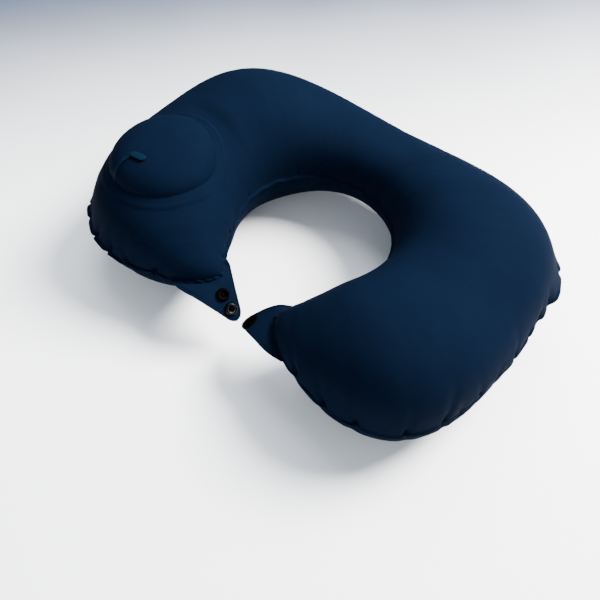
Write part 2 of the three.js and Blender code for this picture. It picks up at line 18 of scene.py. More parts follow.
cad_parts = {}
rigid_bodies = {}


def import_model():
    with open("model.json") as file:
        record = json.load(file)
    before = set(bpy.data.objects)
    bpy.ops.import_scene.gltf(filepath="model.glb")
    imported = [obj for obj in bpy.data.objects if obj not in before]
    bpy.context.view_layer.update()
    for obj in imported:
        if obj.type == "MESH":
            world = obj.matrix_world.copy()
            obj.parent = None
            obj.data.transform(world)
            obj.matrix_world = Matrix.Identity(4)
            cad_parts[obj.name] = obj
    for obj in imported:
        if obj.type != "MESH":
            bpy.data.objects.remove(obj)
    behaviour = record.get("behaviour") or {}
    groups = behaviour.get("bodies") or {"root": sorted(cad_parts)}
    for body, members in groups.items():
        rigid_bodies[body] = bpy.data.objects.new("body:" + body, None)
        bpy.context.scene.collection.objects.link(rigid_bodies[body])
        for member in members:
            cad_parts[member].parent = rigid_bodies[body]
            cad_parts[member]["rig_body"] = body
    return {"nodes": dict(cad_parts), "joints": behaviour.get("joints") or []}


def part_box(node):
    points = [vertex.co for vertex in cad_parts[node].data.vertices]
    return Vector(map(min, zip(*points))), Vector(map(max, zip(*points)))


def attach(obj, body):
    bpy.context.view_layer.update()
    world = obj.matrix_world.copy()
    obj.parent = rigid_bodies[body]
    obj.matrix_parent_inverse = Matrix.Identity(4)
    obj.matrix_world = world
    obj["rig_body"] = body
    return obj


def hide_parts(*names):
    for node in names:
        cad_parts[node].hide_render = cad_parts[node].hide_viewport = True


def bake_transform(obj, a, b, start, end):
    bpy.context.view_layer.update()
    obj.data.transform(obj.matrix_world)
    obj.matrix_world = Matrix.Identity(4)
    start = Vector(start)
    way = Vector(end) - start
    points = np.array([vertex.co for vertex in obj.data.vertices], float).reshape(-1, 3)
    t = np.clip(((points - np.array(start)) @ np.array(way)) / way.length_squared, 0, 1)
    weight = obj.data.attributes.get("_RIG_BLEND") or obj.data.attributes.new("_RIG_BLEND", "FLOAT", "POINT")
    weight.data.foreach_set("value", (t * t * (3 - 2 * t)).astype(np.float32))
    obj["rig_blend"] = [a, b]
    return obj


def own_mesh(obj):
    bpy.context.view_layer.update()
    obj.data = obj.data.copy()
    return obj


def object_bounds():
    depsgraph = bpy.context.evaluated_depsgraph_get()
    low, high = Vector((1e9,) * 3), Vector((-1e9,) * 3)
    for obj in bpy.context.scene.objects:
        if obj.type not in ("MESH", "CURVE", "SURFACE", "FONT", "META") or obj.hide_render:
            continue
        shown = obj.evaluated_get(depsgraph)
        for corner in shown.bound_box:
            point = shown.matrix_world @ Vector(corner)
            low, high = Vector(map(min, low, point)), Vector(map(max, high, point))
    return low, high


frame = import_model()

MM = 0.001
CAD_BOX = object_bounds()
JOINTS = {joint["name"]: joint for joint in frame["joints"]}
CLOTH_UV = "cloth"
log = logging.getLogger("pillow")


class Side(Enum):
    """The two arms, with their sign along the width axis."""

    PUMP = -1
    PLAIN = 1


class Edge(Enum):
    """The two long edges of the air chamber at its welded seam."""

    OUTER = 1
    INNER = -1


# ---- Hand tools ----


def clear_selection() -> None:
    """Deselects every object, so that an operator touches only what comes next."""
    if bpy.context.object and bpy.context.object.mode != "OBJECT":
        bpy.ops.object.mode_set(mode="OBJECT")
    for thing in bpy.context.selected_objects:
        thing.select_set(False)


def take(piece: bpy.types.Object) -> bpy.types.Object:
    """Makes one piece the only selected and active one."""
    clear_selection()
    piece.select_set(True)
    bpy.context.view_layer.objects.active = piece
    return piece


@contextmanager
def editing(piece: bpy.types.Object, choose: str = "NONE") -> Iterator[bmesh.types.BMesh]:
    """Opens a piece in edit mode.

    Args:
        piece: The mesh object to edit.
        choose: "ALL" or "NONE", what is selected to begin with.

    Returns:
        The edit mesh, for choosing faces and edges in code.
    """
    take(piece)
    bpy.ops.object.mode_set(mode="EDIT")
    bpy.ops.mesh.select_all(action="SELECT" if choose == "ALL" else "DESELECT")
    yield bmesh.from_edit_mesh(piece.data)
    bmesh.update_edit_mesh(piece.data)
    bpy.ops.object.mode_set(mode="OBJECT")


def finish_modifier(piece: bpy.types.Object, kind: str, **values: object) -> None:
    """Adds one modifier with its values and applies it at once."""
    take(piece)
    modifier = piece.modifiers.new(kind.lower(), kind)
    for name, value in values.items():
        setattr(modifier, name, value)
    bpy.ops.object.modifier_apply(modifier=modifier.name)


def round_off(piece: bpy.types.Object, width: float, segments: int = 2, angle: float = 35) -> None:
    """Bevels the sharp edges of a piece by a width in metres."""
    finish_modifier(
        piece, "BEVEL", width=width, segments=segments, limit_method="ANGLE", angle_limit=math.radians(angle)
    )


def face_outwards(piece: bpy.types.Object) -> None:
    """Merges doubled points and turns every face outwards."""
    with editing(piece, "ALL"):
        bpy.ops.mesh.remove_doubles(threshold=0.01 * MM)
        bpy.ops.mesh.normals_make_consistent(inside=False)


def soft_shading(piece: bpy.types.Object, angle: float = 60) -> None:
    """Shades a piece smooth, with edges sharper than an angle kept crisp."""
    take(piece)
    bpy.ops.object.shade_smooth_by_angle(angle=math.radians(angle))


def put_in_mesh(piece: bpy.types.Object, place: Matrix) -> None:
    """Moves a piece by a matrix and leaves that place in its mesh, not in its object."""
    piece.data.transform(place @ piece.matrix_world)
    piece.matrix_world = Matrix.Identity(4)


def points_of(piece: bpy.types.Object) -> np.ndarray:
    """The piece's points as an array of rows."""
    flat = np.empty(len(piece.data.vertices) * 3)
    piece.data.vertices.foreach_get("co", flat)
    return flat.reshape(-1, 3)


def set_points(piece: bpy.types.Object, points: np.ndarray) -> None:
    """Writes an array of rows back into the piece's points."""
    piece.data.vertices.foreach_set("co", np.ascontiguousarray(points, float).ravel())
    piece.data.update()


def normals_of(piece: bpy.types.Object) -> np.ndarray:
    """The piece's point normals as an array of rows."""
    flat = np.empty(len(piece.data.vertices) * 3)
    piece.data.vertices.foreach_get("normal", flat)
    return flat.reshape(-1, 3)


def lay_cloth_map(piece: bpy.types.Object, across: np.ndarray, along: np.ndarray) -> None:
    """Gives each point its place on the flat cloth, in metres, as the piece's UV map."""
    layer = piece.data.uv_layers.get(CLOTH_UV) or piece.data.uv_layers.new(name=CLOTH_UV)
    corners = np.empty(len(piece.data.loops), int)
    piece.data.loops.foreach_get("vertex_index", corners)
    layer.data.foreach_set("uv", np.stack([across[corners], along[corners]], -1).ravel())


def spun(name: str, profile: Sequence[tuple[float, float]], steps: int = 48) -> bpy.types.Object:
    """Spins a profile about +Z.

    Args:
        name: The new piece's name.
        profile: Points of (radius, height) in millimetres, in order along the profile.
        steps: How many steps the turn has.

    Returns:
        The closed turned piece, at the origin.
    """
    clear_selection()
    bpy.ops.mesh.primitive_plane_add(size=MM, location=(0, 0, 0))
    piece = bpy.context.object
    piece.name = name
    first, *others = [Vector((radius * MM, 0, height * MM)) for radius, height in profile]
    with editing(piece, "ALL"):
        bpy.ops.mesh.merge(type="CENTER")
        bpy.ops.transform.translate(value=first)
        here = first
        for point in others:
            bpy.ops.mesh.extrude_region_move(TRANSFORM_OT_translate={"value": point - here})
            here = point
        bpy.ops.mesh.select_all(action="SELECT")
        bpy.ops.mesh.spin(steps=steps, angle=2 * math.pi, center=(0, 0, 0), axis=(0, 0, 1))
    face_outwards(piece)
    return piece


def gridded(name: str, points: np.ndarray, face_up: bool = True) -> bpy.types.Object:
    """Lays one open sheet through rows of points.

    Args:
        name: The new piece's name.
        points: Places in metres, of shape (rows, columns, 3).
        face_up: Whether its faces are turned up, so that its wall grows downwards.

    Returns:
        The open sheet.
    """
    rows, columns = points.shape[:2]
    clear_selection()
    bpy.ops.mesh.primitive_grid_add(x_subdivisions=columns - 1, y_subdivisions=rows - 1, size=1)
    sheet = bpy.context.object
    sheet.name = name
    set_points(sheet, points.reshape(-1, 3))
    face_outwards(sheet)
    if face_up and sum(polygon.normal.z for polygon in sheet.data.polygons) < 0:
        with editing(sheet, "ALL"):
            bpy.ops.mesh.flip_normals()
    return sheet


def smoothstep(low: float, high: float, value: np.ndarray) -> np.ndarray:
    """Zero below low, one above high, and smooth between them."""
    share = np.clip((value - low) / (high - low), 0, 1)
    return share * share * (3 - 2 * share)


# ---- Shader node groups ----


def new_group(name: str, inputs: dict[str, float], outputs: dict[str, str]) -> bpy.types.NodeTree:
    """Starts a shader node group with a vector input, named number inputs and named outputs."""
    tree = bpy.data.node_groups.new(name, "ShaderNodeTree")
    tree.interface.new_socket(name="Vector", in_out="INPUT", socket_type="NodeSocketVector")
    for label, value in inputs.items():
        socket = tree.interface.new_socket(name=label, in_out="INPUT", socket_type="NodeSocketFloat")
        socket.default_value = value
    for label, kind in outputs.items():
        tree.interface.new_socket(name=label, in_out="OUTPUT", socket_type=kind)
    return tree


@dataclass
class Wiring:
    """Places and joins nodes in one node tree."""

    tree: bpy.types.NodeTree

    def add(self, kind: str, **values: object) -> bpy.types.Node:
        """Adds one node and sets its properties."""
        node = self.tree.nodes.new(kind)
        for name, value in values.items():
            setattr(node, name, value)
        return node

    def join(self, source: bpy.types.NodeSocket, target: bpy.types.NodeSocket) -> None:
        """Links one socket to another."""
        self.tree.links.new(source, target)

    def math(self, operation: str, *terms: object) -> bpy.types.NodeSocket:
        """A Math node whose terms are sockets or numbers; returns its value."""
        node = self.add("ShaderNodeMath", operation=operation)
        for socket, term in zip(node.inputs, terms):
            if isinstance(term, (int, float)):
                socket.default_value = term
            else:
                self.join(term, socket)
        return node.outputs[0]

    def noise(self, vector: bpy.types.NodeSocket, scale: object, detail: float = 2) -> bpy.types.NodeSocket:
        """A Noise texture's value, with its scale as a number or a socket."""
        node = self.add("ShaderNodeTexNoise")
        self.join(vector, node.inputs["Vector"])
        node.inputs["Detail"].default_value = detail
        if isinstance(scale, (int, float)):
            node.inputs["Scale"].default_value = scale
        else:
            self.join(scale, node.inputs["Scale"])
        return node.outputs[0]

    def stretched(self, vector: bpy.types.NodeSocket, scale: Sequence[float]) -> bpy.types.NodeSocket:
        """A vector scaled by its own amount along each axis."""
        node = self.add("ShaderNodeMapping")
        self.join(vector, node.inputs["Vector"])
        node.inputs["Scale"].default_value = scale
        return node.outputs[0]

    def blend(self, share: bpy.types.NodeSocket, first: object, second: object) -> bpy.types.NodeSocket:
        """Mixes two colours, given as sockets or as tuples."""
        node = self.add("ShaderNodeMix", data_type="RGBA")
        self.join(share, node.inputs[0])
        for socket, colour in ((node.inputs[6], first), (node.inputs[7], second)):
            if isinstance(colour, bpy.types.NodeSocket):
                self.join(colour, socket)
            else:
                socket.default_value = (*colour, 1)
        return node.outputs[2]

    def emboss(
        self,
        shader: bpy.types.Node,
        height: bpy.types.NodeSocket,
        strength: float,
        distance: float,
        invert: bool = False,
    ) -> None:
        """Adds fine relief to a shader from a height socket, with its depth in metres."""
        bump = self.add("ShaderNodeBump", invert=invert)
        bump.inputs["Strength"].default_value = strength
        bump.inputs["Distance"].default_value = distance
        self.join(height, bump.inputs["Height"])
        self.join(bump.outputs[0], shader.inputs["Normal"])

    def group(
        self, tree: bpy.types.NodeTree, vector: bpy.types.NodeSocket, **values: float
    ) -> bpy.types.Node:
        """Places a node group with its own input values."""
        node = self.add("ShaderNodeGroup", node_tree=tree)
        self.join(vector, node.inputs["Vector"])
        for name, value in values.items():
            node.inputs[name].default_value = value
        return node


def weave_group() -> bpy.types.NodeTree:
    """Crossing threads with uneven thickness: Height for a bump, and Thread as a mask."""
    tree = new_group(
        "woven_threads",
        {"Threads": 1800.0, "Slub": 0.35},
        {"Height": "NodeSocketFloat", "Thread": "NodeSocketFloat"},
    )
    wires = Wiring(tree)
    given = wires.add("NodeGroupInput")
    result = wires.add("NodeGroupOutput")
    split = wires.add("ShaderNodeSeparateXYZ")
    wires.join(given.outputs["Vector"], split.inputs[0])
    ridges = []
    for axis, other in ((0, 1), (1, 0)):
        turns = wires.math("MULTIPLY", split.outputs[axis], given.outputs["Threads"])
        cell = wires.math("FLOOR", wires.math("MULTIPLY", split.outputs[other], given.outputs["Threads"]))
        stagger = wires.math("MULTIPLY", wires.math("MODULO", cell, 2.0), math.pi / 2)
        angle = wires.math("ADD", wires.math("MULTIPLY", turns, math.pi), stagger)
        ridges.append(wires.math("ABSOLUTE", wires.math("SINE", angle)))
    weave = wires.math("MULTIPLY", wires.math("ADD", *ridges), 0.5)
    slub = wires.noise(wires.stretched(given.outputs["Vector"], (0.15, 1.0, 1.0)), given.outputs["Threads"])
    uneven = wires.math("MULTIPLY", slub, given.outputs["Slub"])
    wires.join(wires.math("ADD", weave, uneven), result.inputs["Height"])
    wires.join(weave, result.inputs["Thread"])
    return tree


def nap_group() -> bpy.types.NodeTree:
    """A brushed surface: Grain of single hairs, and Shade where the pile lies another way."""
    tree = new_group(
        "brushed_nap",
        {"Hairs": 1500.0, "Patches": 22.0},
        {"Grain": "NodeSocketFloat", "Shade": "NodeSocketFloat"},
    )
    wires = Wiring(tree)
    given = wires.add("NodeGroupInput")
    result = wires.add("NodeGroupOutput")
    combed = wires.stretched(given.outputs["Vector"], (1.0, 0.4, 1.0))
    grain = wires.noise(combed, given.outputs["Hairs"], 3)
    broad = wires.noise(given.outputs["Vector"], given.outputs["Patches"], 3)
    streaks = wires.noise(wires.stretched(given.outputs["Vector"], (1.0, 0.12, 1.0)), 140.0, 2)
    shade = wires.math("ADD", wires.math("MULTIPLY", broad, 0.65), wires.math("MULTIPLY", streaks, 0.35))
    wires.join(grain, result.inputs["Grain"])
    wires.join(shade, result.inputs["Shade"])
    return tree


def moulded_group() -> bpy.types.NodeTree:
    """Moulded or cast surface: fine pitting as Height, and soft handling marks as Wear."""
    tree = new_group(
        "moulded_surface",
        {"Pits": 1400.0, "Marks": 90.0},
        {"Height": "NodeSocketFloat", "Wear": "NodeSocketFloat"},
    )
    wires = Wiring(tree)
    given = wires.add("NodeGroupInput")
    result = wires.add("NodeGroupOutput")
    pits = wires.noise(given.outputs["Vector"], given.outputs["Pits"], 2)
    scuffs = wires.noise(wires.stretched(given.outputs["Vector"], (1.0, 0.2, 1.0)), given.outputs["Marks"], 4)
    wires.join(pits, result.inputs["Height"])
    wires.join(scuffs, result.inputs["Wear"])
    return tree


def lint_group() -> bpy.types.NodeTree:
    """Settled lint and dust: more of it on faces that look up, as the mask Lint."""
    tree = new_group("settled_lint", {"Amount": 0.25, "Size": 420.0}, {"Lint": "NodeSocketFloat"})
    wires = Wiring(tree)
    given = wires.add("NodeGroupInput")
    result = wires.add("NodeGroupOutput")
    surface = wires.add("ShaderNodeNewGeometry")
    split = wires.add("ShaderNodeSeparateXYZ")
    wires.join(surface.outputs["Normal"], split.inputs[0])
    upwards = wires.math("MAXIMUM", split.outputs["Z"], 0.0)
    specks = wires.math("GREATER_THAN", wires.noise(given.outputs["Vector"], given.outputs["Size"], 2), 0.69)
    lint = wires.math("MULTIPLY", wires.math("MULTIPLY", specks, upwards), given.outputs["Amount"])
    wires.join(lint, result.inputs["Lint"])
    return tree


WOVEN = weave_group()
NAP = nap_group()
MOULDED = moulded_group()
LINT = lint_group()


# ---- Finishes ----


def new_material(name: str) -> tuple[bpy.types.Material, Wiring, bpy.types.Node]:
    """A fresh node material; returns it with its wiring and its Principled BSDF."""
    material = bpy.data.materials.new(name)
    material.use_nodes = True
    wires = Wiring(material.node_tree)
    return material, wires, material.node_tree.nodes["Principled BSDF"]


@dataclass(frozen=True)
class BrushedFabric:
    """Polyester cloth with a short brushed face, laminated to an airtight film."""

    name: str
    deep: tuple[float, float, float] = (0.0006, 0.0020, 0.0058)
    light: tuple[float, float, float] = (0.0012, 0.0041, 0.0118)
    # Colour of a painted sheen, lighter than the cloth, blended in where its face turns away from view.
    wear_and_sheen: tuple[float, float, float] = (0.0024, 0.0072, 0.0185)
    sheen: float = 0.001
    threads: float = 1800.0
    relief: float = 0.35
    mottle: float = 22.0

    def build(self) -> bpy.types.Material:
        """Makes the cloth's material from weave, nap, lint and a painted sheen where it turns away from view.
        """
        material, wires, shader = new_material(self.name)
        cloth = wires.add("ShaderNodeUVMap", uv_map=CLOTH_UV).outputs[0]
        weave = wires.group(WOVEN, cloth, Threads=self.threads)
        nap = wires.group(NAP, cloth, Patches=self.mottle)
        lint = wires.group(LINT, cloth)
        facing = wires.add("ShaderNodeLayerWeight")
        facing.inputs["Blend"].default_value = 0.35
        tone = wires.math("MULTIPLY", nap.outputs["Shade"], 0.9)
        grain = wires.math("MULTIPLY", wires.math("SUBTRACT", nap.outputs["Grain"], 0.5), 0.55)
        thread = wires.math("MULTIPLY", wires.math("SUBTRACT", weave.outputs["Thread"], 0.5), 0.18)
        share = wires.math("ADD", wires.math("ADD", tone, grain), thread)
        clamped = wires.add("ShaderNodeClamp")
        wires.join(share, clamped.inputs[0])
        body = wires.blend(clamped.outputs[0], self.deep, self.light)
        # Painted sheen: the cloth's colour is lightened towards the sheen colour where its face turns away
        # from view.
        rim = wires.math("MULTIPLY", facing.outputs["Facing"], 0.06)
        painted_sheen_body = wires.blend(rim, body, self.wear_and_sheen)
        dusty = wires.blend(wires.math("MULTIPLY", lint.outputs["Lint"], 0.3), painted_sheen_body, (0.006, 0.009, 0.013))
        wires.join(dusty, shader.inputs["Base Color"])
        rough = wires.math("ADD", wires.math("MULTIPLY", nap.outputs["Grain"], 0.2), 0.72)
        wires.join(rough, shader.inputs["Roughness"])
        relief = wires.math("ADD", weave.outputs["Height"], nap.outputs["Grain"])
        wires.emboss(shader, relief, self.relief, 0.12 * MM)
        shader.inputs["Sheen Weight"].default_value = self.sheen
        shader.inputs["Sheen Roughness"].default_value = 0.45
        shader.inputs["Sheen Tint"].default_value = (0.35, 0.55, 0.85, 1)
        shader.inputs["Specular IOR Level"].default_value = 0.008
        return material


@dataclass(frozen=True)
class MouldedPlastic:
    """Injection moulded or cast plastic, from matt to glossy."""

    name: str
    colour: tuple[float, float, float]
    wear_and_sheen: tuple[float, float, float]
    roughness: float = 0.35
    pits: float = 1400.0
    relief: float = 0.08
    coat: float = 0.0
    metallic: float = 0.0
    gloss: float = 0.12

    def build(self) -> bpy.types.Material:
        """Makes the plastic's material from pits, scuffs and worn edges."""
        material, wires, shader = new_material(self.name)
        place = wires.add("ShaderNodeTexCoord").outputs["Object"]
        skin = wires.group(MOULDED, place, Pits=self.pits)
        surface = wires.add("ShaderNodeNewGeometry")
        edge = wires.add("ShaderNodeMapRange")
        edge.inputs["From Min"].default_value = 0.52
        edge.inputs["From Max"].default_value = 0.62
        wires.join(surface.outputs["Pointiness"], edge.inputs["Value"])
        rubbed = wires.math("MULTIPLY", edge.outputs[0], skin.outputs["Wear"])
        wires.join(wires.blend(rubbed, self.colour, self.wear_and_sheen), shader.inputs["Base Color"])
        uneven = wires.math("MULTIPLY", wires.math("SUBTRACT", skin.outputs["Wear"], 0.5), 0.3)
        wires.join(wires.math("ADD", uneven, self.roughness), shader.inputs["Roughness"])
        wires.emboss(shader, skin.outputs["Height"], self.relief, 0.08 * MM)
        shader.inputs["Specular IOR Level"].default_value = self.gloss
        shader.inputs["Coat Weight"].default_value = self.coat
        shader.inputs["Coat Roughness"].default_value = 0.08
        shader.inputs["Metallic"].default_value = self.metallic
        return material


@dataclass(frozen=True)
class ClearFilm:
    """Clear flexible plastic of the air valves."""

    name: str
    tint: tuple[float, float, float] = (0.78, 0.86, 0.88)
    roughness: float = 0.16
    transmission: float = 0.75

    def build(self) -> bpy.types.Material:
        """Makes the film's material: tinted, slightly clouded and softly glossy."""
        material, wires, shader = new_material(self.name)
        place = wires.add("ShaderNodeTexCoord").outputs["Object"]
        skin = wires.group(MOULDED, place, Pits=700.0, Marks=160.0)
        cloudy = wires.blend(skin.outputs["Wear"], self.tint, (0.9, 0.93, 0.93))
        wires.join(cloudy, shader.inputs["Base Color"])
        spread = wires.math("MULTIPLY", skin.outputs["Wear"], 0.2)
        wires.join(wires.math("ADD", spread, self.roughness), shader.inputs["Roughness"])
        wires.emboss(shader, skin.outputs["Height"], 0.12, 0.1 * MM)
        shader.inputs["Transmission Weight"].default_value = self.transmission
        shader.inputs["IOR"].default_value = 1.48
        return material


@dataclass(frozen=True)
class OpenFoam:
    """Open cell foam that springs the pump back."""

    name: str
    # Colour at each pore's middle, painted shade in the hollow; the cell walls are a paler grey.
    colour: tuple[float, float, float] = (0.20, 0.22, 0.24)

    def build(self) -> bpy.types.Material:
        """Makes the foam's material from its cells, with painted shade darkening each pore towards its
        middle.
        """
        material, wires, shader = new_material(self.name)
        place = wires.add("ShaderNodeTexCoord").outputs["Object"]
        cells = wires.add("ShaderNodeTexVoronoi", feature="DISTANCE_TO_EDGE")
        cells.inputs["Scale"].default_value = 900.0
        wires.join(place, cells.inputs["Vector"])
        # Painted shade: the colour darkens from the paler cell walls towards each pore's sunken middle.
        pore_shade = wires.math("MULTIPLY", cells.outputs["Distance"], 3.0)
        wires.join(wires.blend(pore_shade, (0.34, 0.36, 0.38), self.colour), shader.inputs["Base Color"])
        wires.emboss(shader, cells.outputs["Distance"], 0.8, 0.4 * MM, invert=True)
        shader.inputs["Roughness"].default_value = 0.95
        return material


@dataclass(frozen=True)
class PaleFloor:
    """The plain studio floor, with painted light fall-off: paler in front and darkening to a blue grey
    behind.
    """

    name: str = "studio_floor"
    near: tuple[float, float, float] = (0.91, 0.915, 0.93)
    # Colour far behind the pillow: painted shade where the light falls off.
    painted_shade_far: tuple[float, float, float] = (0.035, 0.05, 0.085)

    def build(self) -> bpy.types.Material:
        """Makes the floor's material with a soft painted fall-off of light and the faintest unevenness."""
        material, wires, shader = new_material(self.name)
        place = wires.add("ShaderNodeTexCoord").outputs["Object"]
        split = wires.add("ShaderNodeSeparateXYZ")
        wires.join(place, split.inputs[0])
        right = wires.math("MULTIPLY", split.outputs["X"], 0.70)
        behind = wires.math("MULTIPLY", split.outputs["Y"], -0.714)
        cloud = wires.math("MULTIPLY", wires.noise(place, 3.0, 2), 0.08)
        forward = wires.math("ADD", wires.math("ADD", right, behind), cloud)
        # Painted shade: the colour blends from the dark far colour behind to the pale near colour in front.
        fall = wires.add("ShaderNodeMapRange", interpolation_type="SMOOTHSTEP")
        fall.inputs["From Min"].default_value = -0.50
        fall.inputs["From Max"].default_value = 0.06
        wires.join(forward, fall.inputs["Value"])
        wires.join(wires.blend(fall.outputs[0], self.painted_shade_far, self.near), shader.inputs["Base Color"])
        shader.inputs["Roughness"].default_value = 0.75
        shader.inputs["Specular IOR Level"].default_value = 0.2
        return material


PILLOW_CLOTH = BrushedFabric("pillow_cloth")
TAB_CLOTH = BrushedFabric("tab_cloth", mottle=34.0, relief=0.4)
PUMP_CLOTH = BrushedFabric("pump_cloth", mottle=30.0)
PUMP_RUBBER = MouldedPlastic(
    "plug_rubber", (0.0007, 0.0048, 0.0115), (0.002, 0.010, 0.020), 0.7, gloss=0.015
)
SNAP_MATT = MouldedPlastic(
    "snap_matt_black", (0.0002, 0.00016, 0.00012), (0.001, 0.0008, 0.0006), 0.7, gloss=0.01
)
SNAP_GLOSS = MouldedPlastic(
    "snap_gloss_black", (0.0002, 0.0002, 0.0002), (0.001, 0.001, 0.001), 0.25, coat=0.04, gloss=0.05
)
SNAP_STEEL = MouldedPlastic("snap_steel", (0.10, 0.103, 0.106), (0.2, 0.2, 0.21), 0.3, metallic=1.0)
# A darkened copy of the ring steel for the inner spring ring: painted shade in place of the glint that ring
# does not show.
SNAP_STEEL_DARKENED = MouldedPlastic(
    "snap_steel_painted_dark", (0.003, 0.002, 0.0015), (0.01, 0.007, 0.005), 0.5, metallic=1.0
)
PUMP_FILM = MouldedPlastic(
    "pump_base_film", (0.0012, 0.005, 0.012), (0.004, 0.012, 0.024), roughness=0.55
)
VALVE_FILM = ClearFilm("valve_clear_film")
FLAP_FILM = ClearFilm("flap_clear_film", roughness=0.3, transmission=0.5)
FOAM = OpenFoam("pump_open_foam")

_MADE: dict[str, bpy.types.Material] = {}


def dress(piece: bpy.types.Object, finish: object) -> bpy.types.Object:
    """Gives a piece one finish, made once."""
    if finish.name not in _MADE:
        _MADE[finish.name] = finish.build()
    piece.data.materials.clear()
    piece.data.materials.append(_MADE[finish.name])
    return piece


# ---- Air chamber ----


@dataclass(frozen=True)
class Pucker:
    """One gather of the cloth at a welded edge.

    Attributes:
        heading: Where it sits, in degrees round from the nape towards the plain arm.
        depth: How far the valley sinks, in millimetres.
        width: Half-width of the valley at the seam, in millimetres.
        reach: How far the valley runs up the panel, in millimetres.
        edge: The edge of the chamber that it sits on.
        notch: How much of the depth also pulls the welded edge in.
    """

    heading: float
    depth: float
    width: float
    reach: float
    edge: Edge = Edge.OUTER
    notch: float = 0.8


@dataclass(frozen=True)
class ChamberForm:
    """The inflated air chamber's plan outline and section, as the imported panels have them."""

    half_width: float = 205.8 * MM
    back: float = 146 * MM
    front: float = 147.6 * MM
    corner_power: float = 3.24
    neck_half_width: float = 74.3 * MM
    neck_back: float = 69.5 * MM
    neck_front: float = 79.4 * MM
    neck_power: float = 2.0
    rounding_start: float = math.radians(122.4)
    arm_end: float = math.radians(160.2)
    rounding_power: float = 1.76
    tip_share: float = 0.27
    height_per_width: float = 0.87
    reference_width: float = 135 * MM
    slimming: float = -0.09
    section_power: float = 2.26

    def radius(
        self, heading: np.ndarray, half_width: float, back: float, front: float, power: float
    ) -> np.ndarray:
        """Radius of a rounded outline at each heading, with its own back and front depth."""
        depth = np.where(np.cos(heading) >= 0, back, front)
        across = np.abs(np.sin(heading) / half_width) ** power
        return (across + np.abs(np.cos(heading) / depth) ** power) ** (-1 / power)

    def section(self, heading: np.ndarray) -> tuple[np.ndarray, np.ndarray, np.ndarray]:
        """The chamber's inner radius, width and height at each heading."""
        outer = self.radius(heading, self.half_width, self.back, self.front, self.corner_power)
        neck = self.radius(heading, self.neck_half_width, self.neck_back, self.neck_front, self.neck_power)
        along = (np.abs(heading) - self.rounding_start) / (self.arm_end - self.rounding_start)
        along = np.clip(along, 0, 1)
        full = outer - neck
        width = full * (1 - along**self.rounding_power) ** (1 / self.rounding_power)
        height = self.height_per_width * width * (full / self.reference_width) ** self.slimming
        return neck + (full - width) * self.tip_share, width, height

    @property
    def centre(self) -> Vector:
        """The neck opening's middle at the height of the seam, in the frame."""
        _, width, _ = self.section(np.array(0.0))
        nape = Vector(JOINTS["arm_spread"]["pos_m"])
        return Vector((nape.x, nape.y - self.neck_back - float(width) / 2, nape.z))

    def skin(self, heading: np.ndarray, turn: np.ndarray) -> np.ndarray:
        """Points of the chamber's skin.

        Args:
            heading: Radians round from the nape, positive to the plain arm.
            turn: Radians round the section, from the outer seam over the top.

        Returns:
            An array of points in the frame, in metres.
        """
        inner, width, height = self.section(heading)
        cosine, sine = np.cos(turn), np.sin(turn)
        power = 2 / self.section_power
        radius = inner + width / 2 * (1 + np.sign(cosine) * np.abs(cosine) ** power)
        z = height / 2 * np.sign(sine) * np.abs(sine) ** power
        middle = self.centre
        return np.stack(
            [middle.x + radius * np.sin(heading), middle.y + radius * np.cos(heading), middle.z + z], -1
        )

    def top(self, x: np.ndarray, y: np.ndarray) -> np.ndarray:
        """Height of the chamber's upper skin over a point of the plan."""
        middle = self.centre
        heading = np.arctan2(x - middle.x, y - middle.y)
        inner, width, height = self.section(heading)
        across = (np.hypot(x - middle.x, y - middle.y) - inner) / (width / 2) - 1
        inside = np.clip(1 - np.abs(across) ** self.section_power, 0, 1)
        return middle.z + height / 2 * inside ** (1 / self.section_power)


# Gathers along the outer seam of the plain arm and of the pump arm: heading in degrees, then the valley's
# depth, width and reach in millimetres. Those at the neck end with their notch.
NEAR_GATHERS = (
    (57.0, 1.2, 4.0, 14), (63.7, 2.6, 3.6, 16), (73.2, 3.4, 4.2, 22), (78.4, 2.6, 3.6, 18),
    (83.7, 2.2, 3.6, 18), (91.0, 2.6, 4.0, 24), (97.4, 2.2, 3.6, 18), (103.1, 2.4, 4.0, 26),
    (108.4, 1.8, 3.6, 20), (113.4, 3.4, 3.8, 36), (122.2, 2.8, 4.2, 30), (131.9, 3.4, 4.2, 34),
    (139.0, 3.0, 4.0, 30), (147.0, 3.4, 4.4, 30),
)
FAR_GATHERS = (
    (-58.0, 2.2, 4.2, 20), (-66.5, 2.8, 4.2, 22), (-76.0, 2.2, 4.0, 20), (-82.5, 2.4, 4.0, 24),
    (-104.5, 2.4, 4.0, 24), (-112.0, 2.4, 3.8, 24), (-118.5, 2.6, 4.0, 24), (-123.2, 3.0, 3.4, 22),
    (-129.0, 4.2, 3.6, 22), (-134.6, 4.4, 3.8, 26), (-140.2, 3.0, 3.8, 24), (-147.0, 3.0, 4.2, 26),
)
NECK_GATHERS = (
    (-131.8, 2.4, 3.4, 16, 0.3), (-150.5, 2.2, 3.6, 14, 0.3), (-96.0, 0.9, 4.5, 20, 0.2),
    (-52.0, 0.8, 5.0, 22, 0.2), (20.0, 0.9, 5.0, 20, 0.2), (64.0, 0.9, 5.0, 22, 0.2),
    (104.0, 1.1, 4.4, 20, 0.2), (136.0, 1.8, 3.8, 18, 0.3), (151.0, 2.0, 3.6, 14, 0.3),
)


def arm_puckers() -> list[Pucker]:
    """The gathers along the welded edges, denser where the edge turns fastest."""
    outer = [Pucker(*row) for row in (*NEAR_GATHERS, *FAR_GATHERS)]
    nape = [Pucker(heading, 1.3, 4.6, 18) for heading in (-47, -38, -24.5, -11, 3.5, 16, 27.5, 40, 48.5)]
    neck = [Pucker(*row, Edge.INNER, notch) for *row, notch in NECK_GATHERS]
    return [*outer, *nape, *neck]


